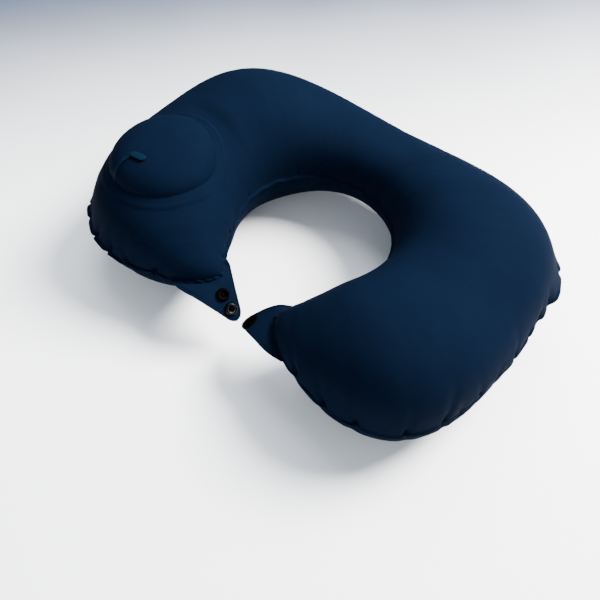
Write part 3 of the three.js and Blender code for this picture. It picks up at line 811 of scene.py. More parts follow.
# Headings in degrees with the width of the welded edge there, and how far the cloth billows out over it
# (millimetres), all round the outer seam.
OUTER_EDGE = (
    (-160, 1.8, 0), (-147, 2.4, 1.5), (-141, 3.0, 3.0), (-135, 4.0, 4.5), (-129, 4.6, 5.0), (-124, 4.6, 4.0),
    (-120, 5.0, 6.0), (-115, 4.6, 5.0), (-109, 4.0, 2.5), (-104, 3.4, 0.5), (-95, 3.2, 0), (0, 3.2, 0),
    (46, 3.4, 0.5), (52, 3.6, 3.0), (56, 4.2, 5.0), (59, 4.6, 6.0), (61.8, 5.0, 7.5), (63.5, 4.0, 4.5),
    (65, 4.6, 6.5), (68, 4.6, 6.5), (71.2, 5.0, 6.0), (73.2, 3.4, 2.6), (75.5, 4.2, 2.8), (77, 4.4, 3.0),
    (78.5, 3.2, 1.2), (82, 4.2, 0.5), (90, 3.8, 0), (96, 3.2, 0), (102, 2.6, 0), (108, 2.0, 0),
    (114, 1.8, 0.5), (118, 2.2, 1.0), (130, 1.8, 1.0), (147, 1.8, 1.5), (160, 1.8, 1.0),
)


# The laminated cloth under its air pressure, as the cloth solver takes it.
INFLATED_CLOTH = {
    "quality": 6,
    "mass": 0.25,
    "use_pressure": True,
    "uniform_pressure_force": 4.0,
    "tension_stiffness": 25,
    "compression_stiffness": 25,
    "shear_stiffness": 10,
    "bending_stiffness": 0.25,
}


@dataclass
class AirChamber:
    """The two welded panels of the air chamber, as one closed, padded skin with its welded edge."""

    form: ChamberForm = field(default_factory=ChamberForm)
    puckers: list[Pucker] = field(default_factory=arm_puckers)
    rings: int = 300
    panel_steps: int = 34
    inner_edge_width: float = 2.8 * MM
    edge_thickness: float = 1.5 * MM
    billow_height: float = 15 * MM
    front_drop: float = 7 * MM
    blend_half: float = 30 * MM
    slack: float = 1.045
    frames: int = 16
    most_motion: float = 4.5 * MM
    weld_fade: float = 14 * MM
    floor_give: float = 2.0 * MM

    def build(self) -> bpy.types.Object:
        """Models, inflates, gathers and dresses the skin.

        Returns:
            The skin, bending over the nape between the two arms.
        """
        skin = self.sewn_skin()
        self.inflate(skin)
        finish_modifier(skin, "SUBSURF", levels=1, render_levels=1)
        self.gather(skin)
        self.rest_on_floor(skin)
        soft_shading(skin, 80)
        self.map_cloth(skin)
        dress(skin, PILLOW_CLOTH)
        nodes = [f"{half}_panel_{side}_side" for half in ("upper", "lower") for side in ("pump", "plain")]
        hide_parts(*nodes)
        nape = Vector(JOINTS["arm_spread"]["pos_m"])
        reach = Vector((self.blend_half, 0, 0))
        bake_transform(skin, "pump_side", "plain_side", start=nape - reach, end=nape + reach)
        return skin

    def headings(self) -> np.ndarray:
        """The headings of the rings, closer together towards the arm ends."""
        along = np.linspace(-1, 1, self.rings + 1)
        return self.form.arm_end * (1.5 * along - 0.5 * along**3)

    def seam_point(self, heading: np.ndarray, edge: Edge) -> np.ndarray:
        """Points on the welded seam in plan, relative to the opening's middle."""
        inner, width, _ = self.form.section(heading)
        radius = inner + (width if edge is Edge.OUTER else 0)
        return np.stack([radius * np.sin(heading), radius * np.cos(heading)], -1)

    def seam_outwards(self, heading: np.ndarray, edge: Edge) -> np.ndarray:
        """Unit vectors in plan from the welded seam away from the cloth."""
        step = 1e-4
        limit = self.form.arm_end - 2 * step
        inside = np.clip(heading, -limit, limit)
        run = self.seam_point(inside + step, edge) - self.seam_point(inside - step, edge)
        run /= np.linalg.norm(run, axis=-1, keepdims=True)
        return edge.value * np.stack([-run[..., 1], run[..., 0]], -1)

    def sewn_skin(self) -> bpy.types.Object:
        """The smooth inflated skin with its flat welded edge, closed at both arm ends."""
        steps = self.panel_steps
        ring = 2 * (steps + 1) + 4
        clear_selection()
        bpy.ops.mesh.primitive_grid_add(x_subdivisions=ring, y_subdivisions=self.rings, size=1)
        skin = bpy.context.object
        skin.name = "pillow_skin"
        heading = self.headings()[:, None]
        crowding = 0.5 - 0.5 * np.cos(np.pi * (np.arange(steps + 1) / steps))
        turn = np.pi * (0.55 * crowding + 0.45 * np.arange(steps + 1) / steps)
        upper = self.form.skin(*np.broadcast_arrays(heading, turn[None, :]))
        lower = self.form.skin(*np.broadcast_arrays(heading, np.pi + turn[None, :]))
        half = self.edge_thickness / 2
        seam_z = self.form.centre.z
        upper[..., 2] = np.maximum(upper[..., 2], seam_z + half)
        lower[..., 2] = np.minimum(lower[..., 2], seam_z - half)
        columns = [upper[:, i] for i in range(steps + 1)]
        columns += self.edge_columns(heading[:, 0], Edge.INNER, (half, -half))
        columns += [lower[:, i] for i in range(steps + 1)]
        columns += self.edge_columns(heading[:, 0], Edge.OUTER, (-half, half))
        columns.append(upper[:, 0])
        grid = np.stack(columns, 1)
        set_points(skin, grid.reshape(-1, 3))
        with editing(skin, "ALL"):
            bpy.ops.mesh.remove_doubles(threshold=0.02 * MM)
            bpy.ops.mesh.dissolve_degenerate(threshold=0.01 * MM)
            bpy.ops.mesh.normals_make_consistent(inside=False)
        return skin

    def edge_columns(self, heading: np.ndarray, edge: Edge, offsets: tuple[float, float]) -> list[np.ndarray]:
        """The two lines of points along the rim of the welded edge, upper and lower in the given order."""
        width = self.edge_width(heading, edge)[:, None]
        plan = self.seam_point(heading, edge) + width * self.seam_outwards(heading, edge)
        middle = self.form.centre
        lines = []
        for offset in offsets:
            z = np.full(len(heading), middle.z + 0.75 * offset)
            lines.append(np.stack([middle.x + plan[:, 0], middle.y + plan[:, 1], z], -1))
        return lines

    def edge_width(self, heading: np.ndarray, edge: Edge) -> np.ndarray:
        """Width of the welded edge at each heading, in metres."""
        if edge is Edge.INNER:
            return np.full(np.shape(heading), self.inner_edge_width)
        headings, widths, _ = np.array(OUTER_EDGE, float).T
        return np.interp(np.degrees(heading), headings, widths) * MM

    def billow(self, heading: np.ndarray, outer_gap: np.ndarray) -> np.ndarray:
        """How far the cloth near the outer seam stands out, in metres."""
        headings, _, reach = np.array(OUTER_EDGE, float).T
        out = np.interp(np.degrees(heading), headings, reach) * MM
        return out * np.exp(-((outer_gap / self.billow_height) ** 2))

    def cloth_place(self, points: np.ndarray) -> tuple[np.ndarray, np.ndarray, np.ndarray, np.ndarray]:
        """Where points sit on the chamber.

        Args:
            points: Rows of points in the frame.

        Returns:
            Heading, radius from the opening's middle, and distances from the outer and inner seam.
        """
        middle = self.form.centre
        heading = np.arctan2(points[:, 0] - middle.x, points[:, 1] - middle.y)
        radius = np.hypot(points[:, 0] - middle.x, points[:, 1] - middle.y)
        limit = self.form.arm_end * 0.999
        inner, width, _ = self.form.section(np.clip(heading, -limit, limit))
        rise = points[:, 2] - middle.z
        outer_gap = np.hypot(np.maximum(inner + width - radius, 0), rise)
        inner_gap = np.hypot(np.maximum(radius - inner, 0), rise)
        return heading, radius, outer_gap, inner_gap

    def gather(self, skin: bpy.types.Object) -> None:
        """Sinks each pucker's valley into the skin and pulls the welded edge in beside it."""
        points = points_of(skin)
        normals = normals_of(skin)
        heading, radius, outer_gap, inner_gap = self.cloth_place(points)
        middle = self.form.centre
        outwards = np.stack([np.sin(heading), np.cos(heading), np.zeros(len(points))], -1)
        above = np.where(points[:, 2] >= middle.z, 1.0, 0.8)
        sink = np.zeros(len(points))
        pull = np.zeros(len(points))
        for pucker in self.puckers:
            gap = outer_gap if pucker.edge is Edge.OUTER else inner_gap
            lean = 0.25 * math.sin(7 * pucker.heading) * gap
            offset = (heading - math.radians(pucker.heading)) * radius + lean
            spread = 0.45 * pucker.width * MM + 0.10 * gap
            fade = np.exp(-gap / (0.55 * pucker.reach * MM)) * above
            valley = np.exp(-((offset / spread) ** 2)) - 0.28 * np.exp(-((offset / (2.6 * spread)) ** 2))
            sink += pucker.depth * MM * valley * fade * smoothstep(0.5 * MM, 4 * MM, gap)
            near = np.exp(-((gap / (9 * MM)) ** 2)) * np.exp(-((offset / (0.9 * spread)) ** 2))
            pull += pucker.edge.value * pucker.notch * pucker.depth * MM * near
        flutter = np.sin(heading * radius / (2.9 * MM)) + 0.6 * np.sin(heading * radius / (4.7 * MM) + 1.3)
        on_edge = np.exp(-((np.minimum(outer_gap, inner_gap) / (2.5 * MM)) ** 2))
        pull -= self.billow(heading, outer_gap)
        points -= normals * sink[:, None] + outwards * pull[:, None]
        turned = np.degrees(np.abs(heading))
        front = smoothstep(98, 112, turned) * (1 - smoothstep(137, 148, turned))
        points[:, 2] += 0.9 * MM * flutter * on_edge
        points[:, 2] -= self.front_drop * front * np.exp(-((outer_gap / (24 * MM)) ** 2))
        set_points(skin, points)

    def inflate(self, skin: bpy.types.Object) -> None:
        """Blows the skin up as cloth that is cut a little long, and keeps each point near its place.

        Args:
            skin: The coarse closed skin; it is changed in place.
        """
        before = points_of(skin)
        _, _, outer_gap, inner_gap = self.cloth_place(before)
        middle = self.form.centre
        take(skin)
        skin.shape_key_add(name="Basis")
        cut = skin.shape_key_add(name="cut")
        near_edge = np.exp(-((np.minimum(outer_gap, inner_gap) / (22 * MM)) ** 2))
        grow = 1 + (self.slack - 1) * near_edge
        loose = before.copy()
        loose[:, 0] = middle.x + (before[:, 0] - middle.x) * grow
        loose[:, 1] = middle.y + (before[:, 1] - middle.y) * grow
        cut.data.foreach_set("co", loose.ravel())
        cloth = skin.modifiers.new("cloth", "CLOTH")
        for name, value in INFLATED_CLOTH.items():
            setattr(cloth.settings, name, value)
        cloth.settings.rest_shape_key = cut
        cloth.settings.effector_weights.gravity = 0
        scene = bpy.context.scene
        for step in range(1, self.frames + 1):
            scene.frame_set(step)
        graph = bpy.context.evaluated_depsgraph_get()
        blown = skin.evaluated_get(graph)
        after = np.empty(len(blown.data.vertices) * 3)
        blown.data.vertices.foreach_get("co", after)
        skin.modifiers.remove(cloth)
        skin.shape_key_clear()
        scene.frame_set(1)
        motion = after.reshape(-1, 3) - before
        length = np.linalg.norm(motion, axis=1, keepdims=True)
        log.info("inflated skin moved %.1f mm on average", 1000 * float(length.mean()))
        motion *= np.minimum(1, self.most_motion / np.maximum(length, 1e-9))
        motion *= self.free_cloth(before)[:, None]
        set_points(skin, before + motion)

    def free_cloth(self, points: np.ndarray) -> np.ndarray:
        """The share of its motion that each point keeps, down to zero where a piece is welded on."""
        free = np.ones(len(points))
        above_seam = points[:, 2] > self.form.centre.z
        for node, margin, axes in (("pump_skirt", 2 * MM, 2), ("release_valve_flange", 4 * MM, 3)):
            low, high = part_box(node)
            middle = np.array((low + high) / 2)
            reach = max(high - low) / 2 + margin
            distance = np.linalg.norm((points - middle)[:, :axes], axis=1)
            near = smoothstep(reach, reach + self.weld_fade, distance)
            if node == "pump_skirt":
                near = np.where(above_seam, near, 1.0)
            free = np.minimum(free, near)
        for joint in ("left_tab_flex", "right_tab_flex"):
            distance = np.linalg.norm(points - np.array(JOINTS[joint]["pos_m"]), axis=1)
            free = np.minimum(free, 0.35 + 0.65 * smoothstep(20 * MM, 60 * MM, distance))
        return free

    def rest_on_floor(self, skin: bpy.types.Object) -> None:
        """Flattens the underside softly where the pillow rests."""
        points = points_of(skin)
        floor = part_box("lower_panel_plain_side")[0].z
        low = points[:, 2] - floor
        give = self.floor_give
        points[:, 2] = floor + np.where(low < give, give * np.exp((low - give) / give), low)
        set_points(skin, points)

    def map_cloth(self, skin: bpy.types.Object) -> None:
        """Lays the woven cloth over each panel from the seam, in metres."""
        points = points_of(skin)
        heading, _, outer_gap, _ = self.cloth_place(points)
        lay_cloth_map(skin, heading * self.form.half_width * 0.7, outer_gap)


# ---- Fastening tabs ----


@dataclass
class FasteningTab:
    """The flat web of one arm that reaches to the other arm and carries the press studs."""

    side: Side
    tip_x: float
    body: str
    joint: str
    arm: str
    chamber: ChamberForm = field(default_factory=ChamberForm)
    tip_y: float = -105 * MM
    tip_radius: float = 8.5 * MM
    root_inner: tuple[float, float] = (35 * MM, -77 * MM)
    root_outer: tuple[float, float] = (63.5 * MM, -123.5 * MM)
    tail_inner: tuple[float, float] = (14 * MM, 6 * MM)
    tail_outer: tuple[float, float] = (12 * MM, 22 * MM)
    heading: float = math.radians(12)
    hinge_x: float = 31 * MM
    start_slope: float = math.radians(30)
    end_slope: float = math.radians(46)
    arc_length: float = 38 * MM
    sheet: float = 1.4 * MM
    hem: float = 2.6 * MM
    long_steps: int = 72
    cross_steps: int = 40
    tail_rows: int = 10
    tip_rows: int = 16
    bend_half: float = 8 * MM
    inner_bow: float = 0.5
    outer_bow: float = 7

    @property
    def bend_radius(self) -> float:
        """Radius of the web's downward bend."""
        return self.arc_length / (self.end_slope - self.start_slope)

    @property
    def flex_length(self) -> float:
        """From the hinge line to the tip's centre, in plan."""
        return (self.hinge_x - abs(self.tip_x)) / math.cos(self.heading)

    def place(self) -> Matrix:
        """The tab's own frame: origin on the hinge line, +X to the tip, +Z up."""
        origin = Vector(JOINTS[self.joint]["pos_m"])
        to_tip = Vector((-self.side.value * math.cos(self.heading), -math.sin(self.heading), 0))
        across = Vector((0, 0, 1)).cross(to_tip)
        turn = Matrix((to_tip, across, Vector((0, 0, 1)))).transposed().to_4x4()
        return Matrix.Translation(origin) @ turn

    def stud_place(self, distance: float) -> Matrix:
        """The frame of a press stud on the web's top face, at a plan distance from the hinge."""
        slope = math.asin(math.sin(self.start_slope) + distance / self.bend_radius)
        x = self.bend_radius * (math.sin(slope) - math.sin(self.start_slope))
        z = self.bend_radius * (math.cos(slope) - math.cos(self.start_slope))
        return self.place() @ Matrix.Translation((x, 0, z)) @ Matrix.Rotation(slope, 4, "Y")

    def drop(self, distance: np.ndarray) -> np.ndarray:
        """Height of the web's top face below the seam, by plan distance past the hinge."""
        soft = 4 * MM
        beyond = 0.5 * (distance + np.sqrt(distance**2 + soft**2))
        sine = np.clip(math.sin(self.start_slope) + beyond / self.bend_radius, -1, 1)
        fall = self.bend_radius * (np.sqrt(1 - sine**2) - math.cos(self.start_slope))
        return fall * smoothstep(-14 * MM, 2 * MM, distance)

    def edges(self) -> tuple[np.ndarray, np.ndarray]:
        """Matching points along the inner and outer edge in plan, from the tail to the tip."""
        sign = self.side.value
        inner = np.array([sign * self.root_inner[0], self.root_inner[1]])
        outer = np.array([sign * self.root_outer[0], self.root_outer[1]])
        tip = np.array([self.tip_x, self.tip_y])
        touch = [self.touch(inner, tip, sign), self.touch(outer, tip, -sign)]
        middle = math.atan2(-math.sin(self.heading), -sign * math.cos(self.heading))
        touch = [middle + (angle - middle + math.pi) % (2 * math.pi) - math.pi for angle in touch]
        lines = []
        for root, tail, angle in ((inner, self.tail_inner, touch[0]), (outer, self.tail_outer, touch[1])):
            start = root + np.array([sign * tail[0], tail[1]])
            share = np.linspace(0, 1, self.tail_rows, endpoint=False)[:, None]
            straight_rows = self.long_steps - self.tail_rows - self.tip_rows
            straight = np.linspace(0, 1, straight_rows, endpoint=False)[:, None]
            turn = angle + (middle - angle) * np.linspace(0, 1, self.tip_rows + 1)
            arc = tip + self.tip_radius * np.stack([np.cos(turn), np.sin(turn)], -1)
            bow = 0.8 * MM * np.sin(np.pi * straight) * (outer - inner) / np.linalg.norm(outer - inner)
            bow = self.outer_bow * bow if tail is self.tail_outer else self.inner_bow * bow
            lines.append(
                np.concatenate([start + share * (root - start), root + straight * (arc[0] - root) + bow, arc])
            )
        return lines[0], lines[1]

    def touch(self, point: np.ndarray, centre: np.ndarray, side: int) -> float:
        """Direction from the tip's centre to where a line from a point touches its arc."""
        away = point - centre
        return math.atan2(away[1], away[0]) + side * math.acos(self.tip_radius / float(np.hypot(*away)))

    def build(self) -> bpy.types.Object:
        """Models the web, gives it its wall and welded hem, and bends it over its hinge."""
        inner, outer = self.edges()
        share = 0.5 - 0.5 * np.cos(np.pi * np.linspace(0, 1, self.cross_steps + 1))
        plan = inner[:, None] + (outer - inner)[:, None] * share[None, :, None]
        chord = np.linalg.norm(outer - inner, axis=1)[:, None]
        from_edge = np.minimum(share, 1 - share)[None, :] * chord
        middle = self.chamber.centre
        x = middle.x + plan[..., 0]
        y = middle.y + plan[..., 1]
        origin = Vector(JOINTS[self.joint]["pos_m"])
        to_tip = self.place().to_3x3() @ Vector((1, 0, 0))
        distance = (x - origin.x) * to_tip.x + (y - origin.y) * to_tip.y
        z = origin.z + self.drop(distance) + self.creases(distance, share[None, :], from_edge)
        web = gridded(f"{self.body}_web", np.stack([x, y, z], -1))
        lay_cloth_map(web, points_of(web)[:, 0], points_of(web)[:, 1])
        finish_modifier(web, "SOLIDIFY", thickness=self.sheet, offset=-1)
        round_off(web, 0.35 * MM, 2, 50)
        soft_shading(web, 50)
        dress(web, TAB_CLOTH)
        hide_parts(self.body)
        reach = self.bend_half * to_tip
        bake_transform(web, self.arm, self.body, start=origin - reach, end=origin + reach)
        low, high = points_of(web).min(0), points_of(web).max(0)
        return web

    def creases(self, distance: np.ndarray, share: np.ndarray, from_edge: np.ndarray) -> np.ndarray:
        """The pressed hem line and the soft waves of the web."""
        hem = -0.35 * MM * np.exp(-(((from_edge - self.hem) / (0.6 * MM)) ** 2))
        away = smoothstep(4 * MM, -10 * MM, distance)
        wave = 0.9 * MM * np.sin(2 * np.pi * (1.6 * share + distance / (42 * MM))) * away
        fold = 1.1 * MM * np.exp(-(((share - 0.42) / 0.13) ** 2)) * smoothstep(10 * MM, -8 * MM, distance)
        return hem + (wave - fold) * smoothstep(0, 4 * MM, from_edge)


def fastening_tabs() -> list[FasteningTab]:
    """The two tabs, the pump arm's first."""
    left = FasteningTab(Side.PUMP, -10 * MM, "left_tab", "left_tab_flex", "pump_side")
    right = FasteningTab(Side.PLAIN, 13.5 * MM, "right_tab", "right_tab_flex", "plain_side", inner_bow=-3.0)
    return [left, right]


# ---- Press pump ----


def outlined(name: str, outline: Sequence[tuple[float, float]], low: float, high: float) -> bpy.types.Object:
    """Raises a flat outline into a plate.

    Args:
        name: The new piece's name.
        outline: Points of (x, y) in millimetres, anticlockwise.
        low: Height of its underside, in millimetres.
        high: Height of its top, in millimetres.

    Returns:
        The closed plate, at the origin.
    """
    clear_selection()
    bpy.ops.mesh.primitive_circle_add(vertices=len(outline), fill_type="NGON", radius=MM)
    plate = bpy.context.object
    plate.name = name
    set_points(plate, np.array([(x * MM, y * MM, low * MM) for x, y in outline]))
    with editing(plate, "ALL"):
        bpy.ops.mesh.extrude_region_move(TRANSFORM_OT_translate={"value": (0, 0, (high - low) * MM)})
    face_outwards(plate)
    return plate


@dataclass
class PressPump:
    """The soft pump dome on the arm, its foam, and the plug of its air hole."""

    chamber: ChamberForm = field(default_factory=ChamberForm)
    radius: float = 47.5 * MM
    shift: tuple[float, float] = (1.0 * MM, -3.0 * MM)
    packed_radius: float = 46 * MM
    wall_power: float = 2.6
    flange_rise: float = 1.0 * MM
    sheet: float = 1.1 * MM
    spokes: int = 120
    dome_rows: int = 34
    flange_rows: int = 14
    hole: tuple[float, float] = (5 * MM, -26.5 * MM)
    hole_radius: float = 2.6 * MM
    strap_root: tuple[float, float] = (-13.5 * MM, -49.5 * MM)
    strap_width: float = 6.5 * MM
    foam_gap: float = 2.8 * MM
    valve_clear: float = 9 * MM
    foam_radius: float = 37 * MM
    foam_foot: float = 1.6
    weld_lines: tuple[float, float] = (4.5, 9)
    weld_width: float = 0.8
    weld_depth: float = 0.28 * MM

    def __post_init__(self) -> None:
        """Reads the pump's place from the frame."""
        low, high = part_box("pump_skirt")
        self.x, self.y = (low.x + high.x) / 2, (low.y + high.y) / 2
        self.flange_radius = (high.x - low.x) / 2
        self.cover_x, self.cover_y = self.x + self.shift[0], self.y + self.shift[1]
        self.crest = float(self.chamber.top(np.array(self.x), np.array(self.y)))
        self.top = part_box("pump_dome")[1].z

    def build(self) -> list[bpy.types.Object]:
        """Builds the dome, the foam and the plug with its strap."""
        return [self.dome(), self.base(), self.foam(), self.plug(), self.strap()]

    def surface(self, x: np.ndarray, y: np.ndarray) -> np.ndarray:
        """Height of the pump's outside over a point of the plan."""
        across, along = x - self.cover_x, y - self.cover_y
        reach = np.hypot(across, along)
        scale = np.where(reach > 1e-9, self.radius / np.maximum(reach, 1e-9), 0)
        rim = self.chamber.top(self.cover_x + across * scale, self.cover_y + along * scale) + self.flange_rise
        share = np.clip(reach / self.radius, 0, 1)
        inside = rim + (self.top - rim) * (1 - share**self.wall_power) ** 0.5
        return np.where(reach < self.radius, inside, self.chamber.top(x, y) + self.flange_rise)

    def polar_sheet(
        self, name: str, x: np.ndarray, y: np.ndarray, z: np.ndarray, sheet: float
    ) -> bpy.types.Object:
        """Makes a sheet round the pump's middle, with its wall growing downwards.

        Args:
            name: The new piece's name.
            x: The points' place in the frame, a row for each ring and a column for each spoke.
            y: The same along the arm.
            z: The same upwards.
            sheet: Its wall.

        Returns:
            The sheet, closed round its middle.
        """
        piece = gridded(name, np.stack([x, y, z], -1))
        finish_modifier(piece, "SOLIDIFY", thickness=sheet, offset=-1)
        return piece

    def rings(self, x: float, y: float, reach: np.ndarray) -> tuple[np.ndarray, np.ndarray]:
        """Points on rings about a middle, a row for each ring and a column for each spoke."""
        angle = np.linspace(0, 2 * np.pi, self.spokes + 1)[None, :]
        return x + reach[:, None] * np.cos(angle), y + reach[:, None] * np.sin(angle)

    def dome(self) -> bpy.types.Object:
        """The dome and its welded flange as one sheet, with its air hole."""
        share = np.linspace(0, 1, self.dome_rows + 1)
        inner = self.radius * (1 - (1 - share) ** 1.9)
        outer = self.radius + (self.flange_radius - self.radius) * np.linspace(0, 1, self.flange_rows + 1)[1:]
        reach = np.concatenate([inner, outer])
        x, y = self.rings(self.cover_x, self.cover_y, reach)
        from_rim = (reach - self.radius) / MM
        lines = [np.exp(-(((from_rim - at) / self.weld_width) ** 2)) for at in self.weld_lines]
        welds = self.weld_depth * (lines[0] + lines[1])
        near_edge = smoothstep(self.flange_radius - 4 * MM, self.flange_radius, reach)
        tuck = (self.flange_rise + 0.6 * MM) * near_edge
        dome = self.polar_sheet("pump_cover", x, y, self.surface(x, y) - (welds + tuck)[:, None], self.sheet)
        self.punch(dome, self.hole_radius)
        soft_shading(dome, 70)
        points = points_of(dome)
        lay_cloth_map(dome, points[:, 0], points[:, 1])
        dress(dome, PUMP_CLOTH)
        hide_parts("pump_dome", "pump_skirt")
        self.bend(dome)
        return dome

    def base(self) -> bpy.types.Object:
        """The film under the pump, welded to the arm round the check valve."""
        reach = np.linspace(self.valve_clear, self.flange_radius - 10 * MM, 24)
        x, y = self.rings(self.x, self.y, reach)
        base = self.polar_sheet("pump_base_film", x, y, self.chamber.top(x, y) + 0.6 * MM, 0.5 * MM)
        soft_shading(base, 70)
        dress(base, PUMP_FILM)
        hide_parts("pump_base")
        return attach(base, "pump_side")

    def punch(self, piece: bpy.types.Object, radius: float) -> None:
        """Cuts the air hole through a piece, with its own radius."""
        clear_selection()
        place = (self.x + self.hole[0], self.y + self.hole[1], self.top)
        bpy.ops.mesh.primitive_cylinder_add(vertices=32, radius=radius, depth=0.05, location=place)
        cutter = bpy.context.object
        put_in_mesh(cutter, Matrix.Identity(4))
        finish_modifier(piece, "BOOLEAN", operation="DIFFERENCE", object=cutter, solver="EXACT")
        bpy.data.objects.remove(cutter)

    def bend(self, piece: bpy.types.Object) -> None:
        """Lets a piece sink with the pump's top and stay with the arm at its rim."""
        start = Vector((self.x, self.y, self.crest + self.flange_rise))
        end = Vector((self.x, self.y, self.top - 1 * MM))
        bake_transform(piece, "pump_side", "pump_dome", start=start, end=end)

    def foam(self) -> bpy.types.Object:
        """The foam pad that springs the dome back up."""
        rise = (self.top - self.crest - self.foam_gap) / MM
        wide = self.foam_radius / MM
        share = np.linspace(0, 1, 9)
        foot = self.foam_foot
        crown = [(wide * float(s), foot + (rise - foot) * (1 - float(s) ** 2.4) ** 0.5) for s in share[:-1]]
        foam = spun("pump_foam_pad", [(0, foot), (wide - 1, foot), (wide, 2.2), *reversed(crown)], 64)
        put_in_mesh(foam, Matrix.Translation((self.x, self.y, self.crest)))
        self.punch(foam, self.hole_radius + 0.9 * MM)
        soft_shading(foam, 40)
        dress(foam, FOAM)
        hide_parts("pump_foam")
        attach(foam, "pump_side")
        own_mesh(foam)
        return foam

    def plug_place(self) -> Matrix:
        """The plug's frame: origin on its fold under the strap, +X to the air hole."""
        hinge = JOINTS["air_plug_flip"]
        across = -Vector(hinge["axis"])
        hinge_x, hinge_y, _ = hinge["pos_m"]
        to_hole = Vector((self.x + self.hole[0] - hinge_x, self.y + self.hole[1] - hinge_y, 0))
        fold = Vector(hinge["pos_m"]) - Vector((self.x, self.y, 0))
        levels = [self.packed_height(*spot) for spot in ((fold.x, fold.y), self.hole)]
        slope = math.atan2(levels[1] - levels[0], to_hole.length)
        along = (to_hole.normalized() * math.cos(slope) + Vector((0, 0, math.sin(slope)))).normalized()
        up = along.cross(across).normalized()
        turn = Matrix((along, across, up)).transposed().to_4x4()
        return Matrix.Translation(Vector(hinge["pos_m"]) - up * 1.2 * MM) @ turn

    def packed_height(self, x: float, y: float) -> float:
        """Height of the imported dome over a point, given from the pump's middle."""
        reach = math.hypot(x, y)
        scale = self.packed_radius / reach
        rim = float(self.chamber.top(np.array(self.x + x * scale), np.array(self.y + y * scale)))
        return rim + (self.top - rim) * (1 - (reach / self.packed_radius) ** self.wall_power) ** 0.5

    def plug(self) -> bpy.types.Object:
        """The strap's wide end with the pin that closes the air hole."""
        hinge = Vector(JOINTS["air_plug_flip"]["pos_m"])
        run = math.hypot(self.x + self.hole[0] - hinge.x, self.y + self.hole[1] - hinge.y) / MM
        half = self.strap_width / MM / 2
        turn = np.linspace(-np.pi / 2, np.pi / 2, 15)
        outline = [(0.2, -half * 0.62), (2.2, -half * 0.95)]
        outline += [(run + half * float(np.cos(a)), half * float(np.sin(a))) for a in turn]
        outline += [(2.2, half * 0.95), (0.2, half * 0.62)]
        strap = outlined("air_plug_strap", outline, 0, 1.2)
        with editing(strap) as mesh:
            for face in mesh.faces:
                face.select_set(face.normal.z > 0.9)
            bpy.ops.mesh.inset(thickness=0.7 * MM, depth=0.3 * MM)
        round_off(strap, 0.25 * MM, 2, 40)
        pin = spun("plug_pin", [(0, -3.4), (1.5, -3.4), (2.2, -2.7), (1.9, -1.4), (2.2, 0.3), (0, 0.4)], 32)
        pin.data.transform(Matrix.Translation((run * MM, 0, 0)))
        clear_selection()
        pin.select_set(True)
        strap.select_set(True)
        bpy.context.view_layer.objects.active = strap
        bpy.ops.object.join()
        put_in_mesh(strap, self.plug_place())
        soft_shading(strap, 45)
        dress(strap, PUMP_RUBBER)
        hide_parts("air_hole_plug")
        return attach(strap, "air_plug")

    def strap(self) -> bpy.types.Object:
        """The strap's thin neck, from the pump's rim up to the plug's fold."""
        hinge = Vector(JOINTS["air_plug_flip"]["pos_m"]) - Vector((self.x, self.y, 0))
        share = np.linspace(0, 1, 21)[:, None]
        start, end = np.array(self.strap_root), np.array([hinge.x, hinge.y])
        run = (end - start) / np.linalg.norm(end - start)
        side = np.array([-run[1], run[0]])
        half = (1.3 + 0.8 * share**2 + 1.6 * (1 - share) ** 6) * MM
        across = np.linspace(-1, 1, 5)[None, :, None] * half[..., None]
        plan = start + share[..., None] * (end - start) + across * side
        z = self.surface(self.x + plan[..., 0], self.y + plan[..., 1]) + 0.9 * MM
        z = z + 1.4 * MM * np.sin(np.pi * share) ** 2
        last = hinge.z - 0.1 * MM
        z = z + (last - z) * smoothstep(0.75, 1.0, share)
        neck = gridded("air_plug_neck", np.stack([self.x + plan[..., 0], self.y + plan[..., 1], z], -1))
        finish_modifier(neck, "SOLIDIFY", thickness=1.1 * MM, offset=-1)
        round_off(neck, 0.25 * MM, 2, 50)
        soft_shading(neck, 50)
        dress(neck, PUMP_RUBBER)
        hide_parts("plug_strap_anchor")
        self.bend(neck)
        return neck


# ---- Press studs ----


